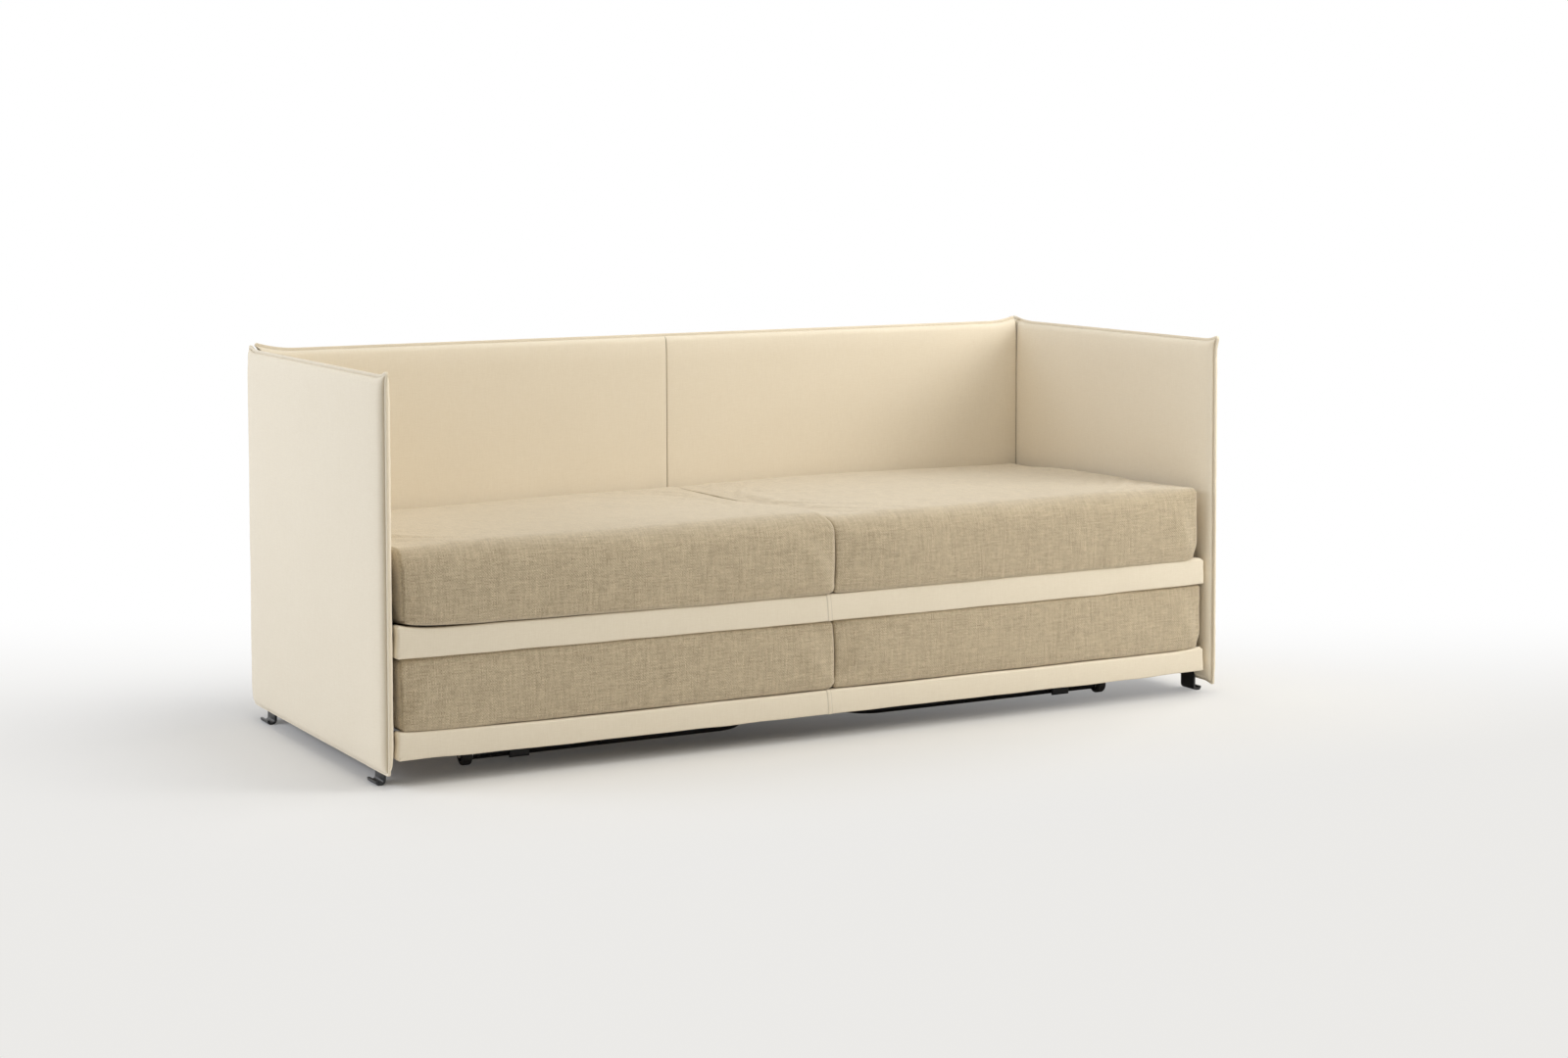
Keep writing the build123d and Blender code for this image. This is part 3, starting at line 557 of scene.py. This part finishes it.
def woven_cloth(name, low, high, thread, slub, contrast, depth, roughness, sheen, cloud=0.1,
                fuzz=(1, 1, 1), nap=0.5, apart=0.83, speck=0.0, stitches=()):
    """Plain weave on the flat pattern. Each warp and weft thread has its own tone along its length,
    from a noise on its number and on its way in slub lengths. The warp lies on top where the
    numbers' sum is even, the weft where it is odd. Numbers are spread by apart, so a small one
    makes neighbours alike. A fine fibre noise and a broad cloudy one are added, and to the colour
    alone a random speck at each crossing. The bump is the product of two sines at the thread's
    pitch, plus the tone. Seams, fin roots and grooves are painted darker by the shade stored on the
    mesh, as painted shade, and rows of stitches lie at the given places across a fin."""
    material, shader = new_material(name, roughness, Sheen_Weight=sheen, Sheen_Roughness=nap,
                                    Sheen_Tint=(*fuzz, 1), Specular_IOR_Level=0.25)
    flat = add(material, "ShaderNodeUVMap", uv_map="pattern").outputs[0]
    along, across = [one_axis(material, flat, number) for number in (0, 1)]
    numbers, tones = [], []
    for own, other, start, run in ((along, across, 3.7, slub), (across, along, 51.3, 0.7 * slub)):
        numbers.append(calc(material, "FLOOR", calc(material, "DIVIDE", own, thread)))
        row = times(material, numbers[-1], apart)
        way = calc(material, "DIVIDE", other, run)
        place = add(material, "ShaderNodeCombineXYZ", {0: row, 1: way, 2: start}).outputs[0]
        inputs = {"Vector": place, "Scale": 1.0, "Detail": 1.5, "Roughness": 0.5}
        tones.append(add(material, "ShaderNodeTexNoise", inputs).outputs[0])
    weft_on_top = odd(material, plus(material, *numbers))
    top = add(material, "ShaderNodeMix", {0: weft_on_top, 2: tones[0], 3: tones[1]}).outputs[0]
    mottle = noise(material, flat, 6.0, 3.0)
    fibre = noise(material, flat, 0.7 / thread, 3.0, 0.7)
    fine = plus(material, times(material, mottle, cloud), times(material, fibre, fibre_share))
    tone = plus(material, times(material, top, 1 - fibre_share - cloud), fine)
    crossing = add(material, "ShaderNodeCombineXYZ", dict(enumerate(numbers))).outputs[0]
    knot = add(material, "ShaderNodeTexWhiteNoise", {"Vector": crossing}, noise_dimensions="2D")
    speckle = ramp(material, knot.outputs["Value"], 0.0, 1.0, -0.5 * speck, 0.5 * speck)
    pale = ramp(material, plus(material, tone, speckle), 0.5 - 0.5 / contrast, 0.5 + 0.5 / contrast)
    colour = blended(material, pale, low, high)
    # Painted shade: the colour is darkened along seams, fin roots and grooves by the shade amount
    # stored on the mesh.
    seam_shade = add(material, "ShaderNodeAttribute", attribute_name="seam_shade").outputs["Fac"]
    dark = tuple(seam_shade_tone * value for value in low)
    colour = blended(material, times(material, seam_shade, 0.85), colour, dark)
    waves = [calc(material, "SINE", times(material, way, np.pi / thread))
             for way in (along, across)]
    height = plus(material, times(material, times(material, *waves), 0.5), tone)
    for row in stitches:
        off = calc(material, "ABSOLUTE", calc(material, "SUBTRACT", across, row))
        near = calc(material, "LESS_THAN", off, stitch_half_width)
        step = calc(material, "FLOORED_MODULO", along, stitch_pitch)
        stitch = times(material, near, calc(material, "LESS_THAN", step, stitch_length))
        colour = blended(material, times(material, stitch, 0.8), colour, linear(236, 229, 210))
        height = plus(material, height, times(material, stitch, 2.5))
    coloured(material, shader, colour)
    bumped(material, shader, height, depth)
    return material


cream = dict(low=linear(228, 215, 191), high=linear(244, 234, 214), thread=1.1 * MM, slub=25 * MM,
             roughness=0.86, sheen=0.09)
panel_cloth = woven_cloth("panel_cloth", contrast=1.2, depth=0.12 * MM, **cream)
fin_cloth = woven_cloth("panel_fin_cloth", contrast=1.2, depth=0.12 * MM,
                        stitches=(4.7 * MM, 17.2 * MM), **cream)

front_ear = (7, 7, 38, 38)
for side, name, lower_drop, rear_ear, crease_height in (
    (-1, "left", -1.5, (7, 7, 38, 38), None),
    (1, "right", 5, (7, 9, 38, 80), 290 * MM),
):
    def side_place(s, t, w, side=side):
        return side * panel_mid_x + w, s, panel_mid_z + t

    low_ear = (-1.5, lower_drop, 38, 38)
    ears = {(-1, -1): low_ear, (1, -1): low_ear, (-1, 1): front_ear, (1, 1): rear_ear}
    sizes = (panel_half_depth, panel_half_height, fin_depth, ears, 40 + side)
    crease_at = None if crease_height is None else crease_height - panel_mid_z
    faces = panel_faces(*sizes, crease_at=crease_at)
    cover = cloth_object(name + "_side_panel", stood(faces, side_place))
    finished(cover, "sofa", "panel_fabric", panel_cloth, name + "_panel_cover")
    fin = cloth_object(name + "_side_panel_fin", stood(panel_fin(*sizes), side_place))
    finished(fin, "sofa", "panel_fabric", fin_cloth)


# Back panel. It is made as the side panels are and stands between them, with its ends pressed flat
# against their inner faces. Its cloth is joined from two widths by a plain seam down the middle.

back_mid_y = 408.5 * MM
back_half_length = 1006.8 * MM
back_end_fin = 0.6 * MM


def back_place(s, t, w):
    return s, back_mid_y + w, panel_mid_z + t


ears = {(-1, 1): (13, 14, 18, 90), (1, 1): (0, 11, 38, 75)}
sizes = (back_half_length, panel_half_height, back_end_fin, ears, 61)
back = cloth_object("back_panel", stood(panel_faces(*sizes, seam_at=0.0), back_place))
finished(back, "sofa", "panel_fabric", panel_cloth, "back_panel_cover")
back_fin = cloth_object("back_panel_fin", stood(panel_fin(*sizes), back_place))
finished(back_fin, "sofa", "panel_fabric", fin_cloth)


# Front bands. A narrow board under thin foam and the same cream cloth closes the front of each bed.
# The cloth is joined by a narrow lapped strip near mid length, and at each end it is folded over
# like a parcel, which leaves a slanting fold at the lower corner.

band_front = -418 * MM
band_back = -390 * MM
band_half_length = 1002 * MM
band_corner = 5 * MM
band_pitch = 6 * MM
band_fullness = 1.4 * MM
end_draw = 3 * MM
lap_mid = -9 * MM
lap_half_width = 4.6 * MM
lap_height = 0.7 * MM
lap_groove = 0.5 * MM
lap_groove_width = 0.8 * MM


def box_patches(xs, ys, zs, form):
    """Six sides of a box, over the given places, each point carried to its true place by form,
    which also gives the painted shade. The flat pattern is one length over front, top, back and
    underside, and flat on both ends."""
    x, y, z = (xs[0], xs[-1]), (ys[0], ys[-1]), (zs[0], zs[-1])
    patches = []
    for level in z:
        a, b = np.meshgrid(xs, ys, indexing="ij")
        way = b - y[0]
        patches.append((a, b, level + 0 * a, a, way + z[1] if level == z[1] else z[0] - way))
    for level in y:
        a, b = np.meshgrid(xs, zs, indexing="ij")
        way = b if level == y[0] else 2 * z[1] + y[1] - y[0] - b
        patches.append((a, level + 0 * a, b, a, way))
    for level in x:
        a, b = np.meshgrid(ys, zs, indexing="ij")
        patches.append((level + 0 * a, a, b, a + 5, b))
    made = []
    for box_x, box_y, box_z, along, across in patches:
        *place, seam_shade = form(box_x, box_y, box_z)
        made.append((np.stack(place, -1), np.stack([along, across], -1), seam_shade))
    return made


def band_form(bottom, top, lifts, seed):
    """Long pad: its section has rounded corners, its ends are drawn in at the last, and seen from
    the front each end has rounded corners and a waist at two thirds of its height. The left end is
    2.3 mm and the right end 3 mm shorter than the half length. The lower edge rises towards each
    end and the upper edge more so, with a last quick rise, because the bed sags between them. The
    front is a little fuller, with a lapped strip at mid length that leans slightly, slight waves
    along its edges and a slanting fold at each lower corner."""
    mid_y, mid_z = (band_front + band_back) / 2, (bottom + top) / 2
    half_y, half_z = (band_back - band_front) / 2, (top - bottom) / 2

    def form(x, y, z):
        radius = np.where(z > mid_z, band_corner, 0.6 * band_corner)
        u, v = rounded(y - mid_y, z - mid_z, half_y, half_z, radius)
        upper, lower = np.where(x < 0, 7, 16) * MM, np.where(x < 0, 8, 4) * MM
        x, v = rounded(x, v, band_half_length, half_z, np.where(v > 0, upper, lower))
        x, u = rounded(x, u, band_half_length, half_y, 8 * MM)
        end = band_half_length - np.abs(x)
        rises = []
        for (left, right), power in zip(lifts, (1.2, 1.2, 2)):
            size, run = [np.where(x < 0, *ends) * MM for ends in zip(left, right)]
            rises.append(size * unit(1 - end / run) ** power)
        low_rise, high_rise, last_rise = rises
        draw = end_draw * (1 - quarter(end / end_draw))
        u, v = u * (1 - draw / half_y), v * (1 - draw / half_z)
        front = unit(-u / half_y)
        fullness = band_fullness * front * (1 - (v / half_z) ** 2) * quarter(end / (26 * MM))
        off_fold = (v + half_z) - 0.75 * (end - 2 * MM)
        fold = 1.6 * MM * bell(off_fold, 2.2 * MM) - 0.9 * MM * bell(off_fold - 4 * MM, 2.4 * MM)
        fullness = fullness + fold * front * unit(1 - end / (42 * MM))
        off = np.abs(x - lap_mid + 0.07 * v)
        groove = bell(off - lap_half_width, lap_groove_width)
        lap = lap_height / (1 + (off / lap_half_width) ** 12) - lap_groove * groove
        outside = np.maximum(np.abs(u) / half_y, np.abs(v) / half_z)
        u = u * (1 + lap * outside / half_y) - fullness
        v = v * (1 + lap * outside / half_z)
        u = u + ripple(seed, x, v, 150 * MM, 1.0 * MM) * front
        v = v + ripple(seed + 1, x, u, 120 * MM, 1.1 * MM) * unit(-v / half_z)
        v = v + ripple(seed + 2, x, u, 210 * MM, 0.8 * MM) * unit(v / half_z)
        waist = 1.5 * MM * bell(v - half_z / 3, half_z / 2)
        waist = waist - 1.0 * MM * bell(v + half_z, half_z / 2)
        way = x / band_half_length
        x = x - np.sign(x) * waist * fade(end, 18 * MM)
        x = x - 3 * MM * unit(way) ** 8 - 2.3 * MM * unit(-way) ** 8
        high = unit((v / half_z + 1) / 2)
        v = v + low_rise * (1 - high) + (high_rise + last_rise) * high
        # The last value is painted shade in the lapped strip's grooves.
        return x, mid_y + u, mid_z + v, 0.35 * groove

    return form


band_cloth = woven_cloth("band_cloth", contrast=1.3, depth=0.15 * MM, **cream)
lap_steps = np.array([0, 1.5, 2.6, 3.5, 4.2, 4.9, 5.6, 6.5, 8, 11]) * MM
corner_steps = np.array([0, 0.5, 1.2, 2, 3, 4, 5]) * MM
along = rows(-band_half_length, band_half_length, band_pitch,
             np.concatenate([lap_mid - lap_steps, lap_mid + lap_steps]))
across = np.unique(np.concatenate([
    band_front + corner_steps, [(band_front + band_back) / 2], band_back - corner_steps]))

# Lifts of the lower edge, of the upper edge and of its last quick rise: the height and the run of
# each at the left end, then at the right end, in millimetres.
for level, body, bottom, top, lifts, seed in (
    ("upper", "sofa", 258 * MM, 316 * MM,
     (((4.2, 900), (4, 450)), ((5, 900), (5.8, 1100)), ((11, 100), (1.5, 100))), 5),
    ("lower", "trundle", 54 * MM, 106.5 * MM,
     (((3.4, 300), (3.4, 300)), ((6, 400), (1.5, 300)), ((3, 60), (7.5, 100))), 9),
):
    upright = np.unique(np.concatenate([
        bottom + corner_steps, np.linspace(bottom, top, 23)[3:-3], top - corner_steps,
        top - 2 * corner_steps]))
    form = band_form(bottom, top, lifts, seed)
    band = cloth_object(level + "_front_band", box_patches(along, across, upright, form))
    finished(band, body, "band_fabric", band_cloth, level + "_band_cover")


# Mattresses. Each bed has two foam cushions end to end, in loose covers of greige linen weave: one
# length goes round front, top, back and underside, and a flat panel is sewn into each end.

cushion_back = 388 * MM
cushion_pitch = 9.5 * MM
lower_radius = 12 * MM
side_swell = 2.5 * MM
joint_bow = 5 * MM
joint_run = 50 * MM
front_run = 90 * MM
net_pitch = 14 * MM
settling_frames = 18
farthest_move = 4 * MM
end_rows = np.array([0, 0.5, 1.1, 1.9, 3, 4.4, 6.2, 8.6, 12, 17, 24, 32]) * MM

linen = woven_cloth("mattress_linen", linear(128, 109, 79), linear(215, 197, 164), thread=2.75 * MM,
                    slub=50 * MM, contrast=1.55, depth=0.55 * MM, roughness=0.9, sheen=0.78,
                    cloud=0.04, fuzz=(1, 0.93, 0.80), nap=0.68, apart=5.3, speck=0.15)


def through(heights):
    """Smooth surface through measured heights, each (x, y, z) in millimetres: a sum of bell curves,
    one over each (x, y), whose sizes are solved for so that it meets them all."""
    heights = np.array(heights) * MM
    at, wide = heights[:, :2], np.array([0.34, 0.14])
    level = heights[:, 2].mean()

    def bells(x, y):
        way = (np.stack([x, y], -1)[..., None, :] - at) / wide
        return np.exp(-(way ** 2).sum(-1) / 2)

    overlap = bells(at[:, 0], at[:, 1]) + 1e-3 * np.eye(len(at))
    size = np.linalg.solve(overlap, heights[:, 2] - level)
    return lambda x, y: level + bells(x, y) @ size


def cushion_form(ends, levels, top_surface, radii, corners, moves, seed):
    """Cushion between two ends. Levels are the front, the bottom and the nominal top. The section's
    lower corners are tight and its upper ones broad: the radii are those at the left end, between
    and at the right end. Seen from the front, each corner has its radius in millimetres, low left,
    low right, high left and high right, the high ones fading to 2 mm behind the front. The four
    moves follow. The front's lower edge rises towards the outer left end by the lift, the front
    leans back with its height, it stands proud next to the joint, and the top of the joint turns
    over to the left in a quarter ellipse. The joint is also bowed to the right. The cover is drawn
    in at each end seam, less so on top of the joint, the outer end panel swells out from the seam,
    the front and back swell between the corners, and the top follows its heights. Painted shade
    along the end seams darkens the cloth there, and is fainter near the top."""
    (left, right), (front, bottom, nominal_top), (lift, lean, proud, turn) = ends, levels, moves
    mid_x, half_x = (left + right) / 2, (right - left) / 2
    mid_y, half_y = (front + cushion_back) / 2, (cushion_back - front) / 2
    mid_z, half_z = (bottom + nominal_top) / 2, (nominal_top - bottom) / 2
    joint = 0 if abs(left) < abs(right) else 1

    def form(x, y, z):
        off_ends = [x - left, right - x]
        off_joint = off_ends[joint]
        near = [fade(off, 60 * MM) for off in off_ends]
        upper = radii[1] + (radii[0] - radii[1]) * near[0] + (radii[2] - radii[1]) * near[1]
        radius = np.where(z > mid_z, upper, lower_radius)
        behind = fade(y - front, front_run)
        high = 2 + (np.where(x < mid_x, *corners[2:]) - 2) * behind
        corner = np.where(z > mid_z, high, np.where(x < mid_x, *corners[:2])) * MM
        new_x, v = rounded(x - mid_x, z - mid_z, half_x, half_z, corner)
        u, v = rounded(y - mid_y, v, half_y, half_z, radius)
        edge = np.minimum(half_y - np.abs(y - mid_y), half_z - np.abs(z - mid_z))
        on_top = unit(v / half_z) ** 4 * (1 - unit(-u / half_y) ** 8)
        draw = 0
        for number, off in enumerate(off_ends):
            deep, far = (4.5 - 3 * on_top, 11) if number == joint else (2.5, 6)
            draw = draw + deep * MM * (1 - quarter(off / (far * MM)))
            draw = draw + 1.2 * MM * fade(off, 30 * MM)
        u, v = u * (1 - draw / half_y), v * (1 - draw / half_z)
        end = np.minimum(*off_ends)
        rim_y = unit(np.abs(u) / half_y) ** 4
        swell = side_swell * unit(1 - (v / half_z) ** 2) * quarter(end / (120 * MM))
        u = u + np.sign(u) * rim_y * swell
        share = unit((v + half_z) / (2 * half_z))
        bow = joint_bow * unit(1 - (v / half_z) ** 2) * fade(off_joint, joint_run)
        v = v + (top_surface(x, mid_y + u) - nominal_top) * share
        slack = 0.45 * unit(1 - (x - left) / (650 * MM)) + 0.55 * fade(x - left, 45 * MM)
        slack = slack * unit(-u / half_y) ** 3
        v = v + lift * slack * unit(1 - 2 * share)
        v = v + ripple(seed, x, u, 260 * MM, 1.6 * MM) * unit(v / half_z) ** 2
        v = v + ripple(seed + 3, x, u, 70 * MM, 0.7 * MM) * unit(v / half_z) ** 2
        under = unit(-v / half_z) ** 3 * unit(-u / half_y)
        v = v + ripple(seed + 4, x, u, 120 * MM, 1.0 * MM) * under
        u = u + np.sign(u) * rim_y * ripple(seed + 1, x, v, 190 * MM, 1.6 * MM)
        u = u + unit(-u / half_y) ** 4 * (lean * share - proud * bell(off_joint, 90 * MM))
        turned = turn * (1 - quarter((nominal_top + 10 * MM - mid_z - v) / (34 * MM)))
        turned = turned * behind * fade(off_joint, joint_run)
        at_end = np.where(np.abs(end) < 1e-6, 1.0, 0.0)
        at_outer_end = at_end * np.where(off_joint < 1e-6, 0.0, 1.0)
        outward = np.where(off_ends[0] < off_ends[1], -1, 1)
        bulge = 2.4 * MM * quarter(edge / (6 * MM)) + 3 * MM * quarter(edge / (60 * MM))
        pucker = ripple(seed + 2, y, z, 45 * MM, 1.2 * MM) * quarter(edge / (30 * MM))
        x = mid_x + new_x + bow - turned + at_outer_end * outward * (bulge + pucker)
        # Painted shade along the end seams, fainter high on the section and on top of the joint.
        seam_shade = 0.36 * fade(end, 1.2 * MM) * np.where(at_end > 0, fade(edge, 2 * MM), 1)
        seam_shade = seam_shade * (1 - 0.7 * unit(2 * v / half_z - 0.8))
        seam_shade = seam_shade * (1 - 0.6 * on_top * np.where(off_joint <= end, 1, 0))
        return x, mid_y + u, mid_z + v, seam_shade

    return form


upper_left_top = through([
    (-980, 350, 456), (-700, 350, 459), (-350, 350, 466), (-15, 350, 472.5),
    (-980, 80, 468), (-700, 80, 472), (-350, 80, 474), (-15, 80, 473.5),
    (-980, -150, 478), (-700, -150, 481), (-350, -150, 482), (-15, -150, 485),
    (-980, -330, 484), (-700, -330, 488), (-350, -330, 490), (-15, -330, 496),
    (-980, -424, 486), (-700, -424, 488), (-350, -424, 489), (-15, -424, 495)])
upper_right_top = through([
    (15, 350, 472.5), (350, 350, 475), (700, 350, 473), (980, 350, 472),
    (15, 80, 474), (350, 80, 483), (700, 80, 485), (980, 80, 484),
    (15, -150, 479), (350, -150, 487), (700, -150, 488), (980, -150, 487),
    (15, -330, 486), (350, -330, 488), (700, -330, 489), (980, -330, 490),
    (15, -424, 485), (350, -424, 487), (700, -424, 488), (980, -424, 491)])


def lower_top(x, y):
    """Nearly flat, up against the band above: about 3 mm higher at both ends."""
    rise = 3 * unit((x - 0.58) / 0.42) ** 1.5 + 3.2 * unit(-x) ** 1.2
    return 259.6 * MM + 0.8 * MM * np.cos(np.pi * y / 0.9) + rise * MM


def settled(spaces, form):
    """Moves of a coarse net in the same form when the cloth solver puts slight air pressure in it,
    without weight, and shrinks it by a twentieth along both end seams. The foam holds the cover:
    the underside is pinned, the rest pinned softly, least near the seams. Long moves are eased off.
    Gives the net's places and one grid of moves per side."""
    axes = [np.linspace(low, high, int(round((high - low) / net_pitch)) + 1)
            for low, high in spaces]
    patches = box_patches(*axes, form)
    net = cloth_object("cover_net", patches)
    points, first, same = joined(patches)
    start = points[first]
    inside = [np.minimum(start[:, axis] - low, high - start[:, axis])
              for axis, (low, high) in enumerate(spaces)]
    rim = np.maximum(np.minimum(inside[1], inside[2]) - net_pitch, 0)
    near = bell(np.maximum(inside[0], 0) + rim, 45 * MM)
    underside = start[:, 2] < spaces[2][0] + 20 * MM
    held = np.where(underside, 1, np.round(0.3 * (1 - near), 2))
    for title, weight in (("held", held), ("gathered", np.round(near ** 3, 1))):
        group = net.vertex_groups.new(name=title)
        for level in np.unique(weight):
            group.add(np.flatnonzero(weight == level).tolist(), float(level), "REPLACE")
    cloth = net.modifiers.new("cloth", "CLOTH")
    cloth.point_cache.frame_end = settling_frames
    solver = cloth.settings
    solver.quality = 5
    solver.mass = 0.3
    solver.bending_stiffness = 0.4
    solver.use_pressure = True
    solver.uniform_pressure_force = 4
    solver.effector_weights.gravity = 0
    solver.vertex_group_mass = "held"
    solver.pin_stiffness = 1
    solver.vertex_group_shrink = "gathered"
    solver.shrink_min = 0
    solver.shrink_max = 0.05
    for number in range(1, settling_frames + 1):
        bpy.context.scene.frame_set(number)
    moved = np.empty(start.size)
    net.evaluated_get(bpy.context.evaluated_depsgraph_get()).data.vertices.foreach_get("co", moved)
    move = moved.reshape(-1, 3) - start
    move = move / np.sqrt(1 + (move ** 2).sum(1, keepdims=True) / farthest_move ** 2)
    bpy.data.objects.remove(net)
    bpy.context.scene.frame_set(1)
    ends = np.cumsum([grid[..., 0].size for grid, _, _ in patches])[:-1]
    moves = np.split(move[same], ends)
    return axes, [some.reshape(grid.shape) for some, (grid, _, _) in zip(moves, patches)]


def between(coarse, fine):
    """Matrix that carries values at evenly spaced places to finer ones by Catmull-Rom curves."""
    before = np.clip(np.searchsorted(coarse, fine, side="right") - 1, 0, len(coarse) - 2)
    t = (fine - coarse[before]) / (coarse[before + 1] - coarse[before])
    matrix = np.zeros((len(fine), len(coarse)))
    shares = ((2 * t ** 2 - t - t ** 3) / 2, (2 - 5 * t ** 2 + 3 * t ** 3) / 2,
              (t + 4 * t ** 2 - 3 * t ** 3) / 2, (t ** 3 - t ** 2) / 2)
    for step, share in zip((-1, 0, 1, 2), shares):
        column = np.clip(before + step, 0, len(coarse) - 1)
        np.add.at(matrix, (np.arange(len(fine)), column), share)
    return matrix


# Ends; front, bottom and top; section radii; front corners; lift, lean, proud and turn; seed. All
# but the seed in millimetres, and the corners stay so.
for name, body, surface, ends, levels, radii, front_corners, moves, seed in (
    ("upper_left", "sofa", upper_left_top, (-988, 3.3), (-424, 316.3, 480),
     (47, 44, 38), (9, 14, 2, 5), (18, 6, 2.5, 24), 21),
    ("upper_right", "sofa", upper_right_top, (3.5, 977), (-424, 316.3, 480),
     (40, 40, 12), (4, 46, 2, 4), (0, 3, -1.5, 24), 22),
    ("lower_left", "trundle", lower_top, (-991, 4), (-417, 107.6, 255),
     (17, 9, 8), (10, 16, 2, 2), (4, 2, 1.5, 0), 23),
    ("lower_right", "trundle", lower_top, (4.8, 991), (-417, 107.6, 255),
     (8, 9, 4), (4, 42, 2, 2), (0, 2, -1, 0), 24),
):
    ends, levels, radii, moves = [
        tuple(value * MM for value in some) for some in (ends, levels, radii, moves)]
    form = cushion_form(ends, levels, surface, radii, front_corners, moves, seed)
    spaces = (ends, (levels[0], cushion_back), levels[1:])
    places = [rows(*space, cushion_pitch, near=end_rows) for space in spaces]
    patches = box_patches(*places, form)
    axes, grids = settled(spaces, form)
    along, across, upright = [between(coarse, fine) for coarse, fine in zip(axes, places)]
    carry = [(along, across)] * 2 + [(along, upright)] * 2 + [(across, upright)] * 2
    patches = [(points + np.einsum("ij,jkc,lk->ilc", one, grid, other), flat, seam_shade)
               for (points, flat, seam_shade), grid, (one, other) in zip(patches, grids, carry)]
    cushion = cloth_object(name + "_cushion", patches)
    finished(cushion, body, "mattress_fabric", linen,
             name + "_cushion_cover", name + "_cushion_foam")


# Studio. A pale floor, evenly lit away from the sofa and fading to the white behind it, broad lamps
# overhead, at the left, at the right and close to the right front, and a weak light all round. The
# floor is painted darker towards the right, as painted shade, and a faint painted glow lightens its
# shadow under the sofa's left part.

scene = bpy.context.scene
scene.view_settings.view_transform = "Standard"
camera_data = bpy.data.cameras.new("camera")
camera = bpy.data.objects.new("camera", camera_data)
scene.collection.objects.link(camera)
camera.location = (-3.00038, -5.70701, 1.29443)
camera.rotation_euler = tuple(np.radians([90 - 3.514, 0.146, -28.590]))
camera_data.sensor_width = 36
camera_data.lens = 64.907
camera_data.shift_y = -0.1359
camera_data.clip_end = 200
scene.camera = camera

white = (1, 1, 1, 1)
floor_glow = (0.835, 0.825, 0.805, 1)
floor_half_width = 40
sofa_half_size = (1.04, 0.43, 0)
way_back = (0.4786, 0.878, 0)
floor_mesh = bpy.data.meshes.new("floor")
floor_corners = [(x * floor_half_width, y * floor_half_width, 0)
                 for x, y in ((-1, -1), (1, -1), (1, 1), (-1, 1))]
floor_mesh.from_pydata(floor_corners, [], [(0, 1, 2, 3)])
floor = bpy.data.objects.new("floor", floor_mesh)
scene.collection.objects.link(floor)


def vector_calc(material, operation, output, *inputs):
    """Output of a vector math node."""
    made = add(material, "ShaderNodeVectorMath", dict(enumerate(inputs)), operation=operation)
    return made.outputs[output]


paint, paint_shader = new_material("floor_paint", 0.9, Specular_IOR_Level=0.1)
spot = add(paint, "ShaderNodeNewGeometry").outputs["Position"]
to_right = one_axis(paint, spot, 0)
# Painted shade: the floor's colour darkens from left to right, where the lamps light it more.
shade_to_right = ramp(paint, to_right, -1.3, 1.5)
coloured(paint, paint_shader, blended(paint, shade_to_right, (0.84, 0.83, 0.81), (0.62, 0.615, 0.6)))
beside = vector_calc(paint, "ABSOLUTE", "Vector", spot)
beside = vector_calc(paint, "SUBTRACT", "Vector", beside, sofa_half_size)
beside = vector_calc(paint, "MAXIMUM", "Vector", beside, (0, 0, 0))
beside = vector_calc(paint, "LENGTH", "Value", beside)
behind = vector_calc(paint, "DOT_PRODUCT", "Value", spot, way_back)
seen = add(paint, "ShaderNodeLightPath").outputs["Is Camera Ray"]
shown = paint_shader.outputs[0]
for way, low, high, tone in ((beside, 0.0, 0.85, floor_glow), (behind, -0.5, 1.3, white)):
    share = add(paint, "ShaderNodeMapRange", {0: way, 1: low, 2: high},
                interpolation_type="SMOOTHSTEP").outputs[0]
    # Painted light: left of x = 0.5 a faint glow of the floor tone shows to the camera, lightening
    # the shadow under the sofa's left part.
    if way is beside:
        share = calc(paint, "MAXIMUM", share, ramp(paint, to_right, -1.2, 0.5, 0.075, 0.0))
    glow = add(paint, "ShaderNodeEmission", {"Color": tone, "Strength": 1.0}).outputs[0]
    inputs = {0: times(paint, share, seen), 1: shown, 2: glow}
    shown = add(paint, "ShaderNodeMixShader", inputs).outputs[0]
paint.node_tree.links.new(shown, paint.node_tree.nodes["Material Output"].inputs[0])
floor_mesh.materials.append(paint)

world = bpy.data.worlds.new("studio")
scene.world = world
world.use_nodes = True
surround = world.node_tree.nodes["Background"]
surround.inputs["Color"].default_value = (1.0, 0.97, 0.9, 1)
surround.inputs["Strength"].default_value = 0.34
beyond = add(world, "ShaderNodeBackground", {"Color": white, "Strength": 1.0})
rays = add(world, "ShaderNodeLightPath").outputs
seen = calc(world, "MAXIMUM", rays["Is Camera Ray"], rays["Is Glossy Ray"])
inputs = {0: seen, 1: surround.outputs[0], 2: beyond.outputs[0]}
sky = add(world, "ShaderNodeMixShader", inputs).outputs[0]
world.node_tree.links.new(sky, world.node_tree.nodes["World Output"].inputs[0])

for name, where, size, aim, power, tint in (
    ("overhead", (0.2, -1.0, 3.4), (3.6, 2.6), (0.2, -1.0, 0.0), 55, (1, 1, 1)),
    ("left_window", (-4.2, 1.2, 1.8), (3.0, 2.2), (-1.0, -0.1, 0.4), 78, (0.92, 0.985, 1.12)),
    ("right_front", (2.6, -2.3, 2.0), (1.7, 1.6), (0.55, -0.4, 0.3), 60, (1, 0.985, 0.95)),
    ("right_side", (4.2, 0.4, 2.2), (2.4, 2.2), (0.0, 0.0, 0.5), 62, (1, 0.985, 0.96)),
):
    light = bpy.data.lights.new(name, "AREA")
    light.shape = "RECTANGLE"
    light.size, light.size_y = size
    light.energy = power
    light.color = tint
    lamp = bpy.data.objects.new(name, light)
    lamp.location = where
    lamp.rotation_euler = (Vector(aim) - Vector(where)).to_track_quat("-Z", "Y").to_euler()
    scene.collection.objects.link(lamp)
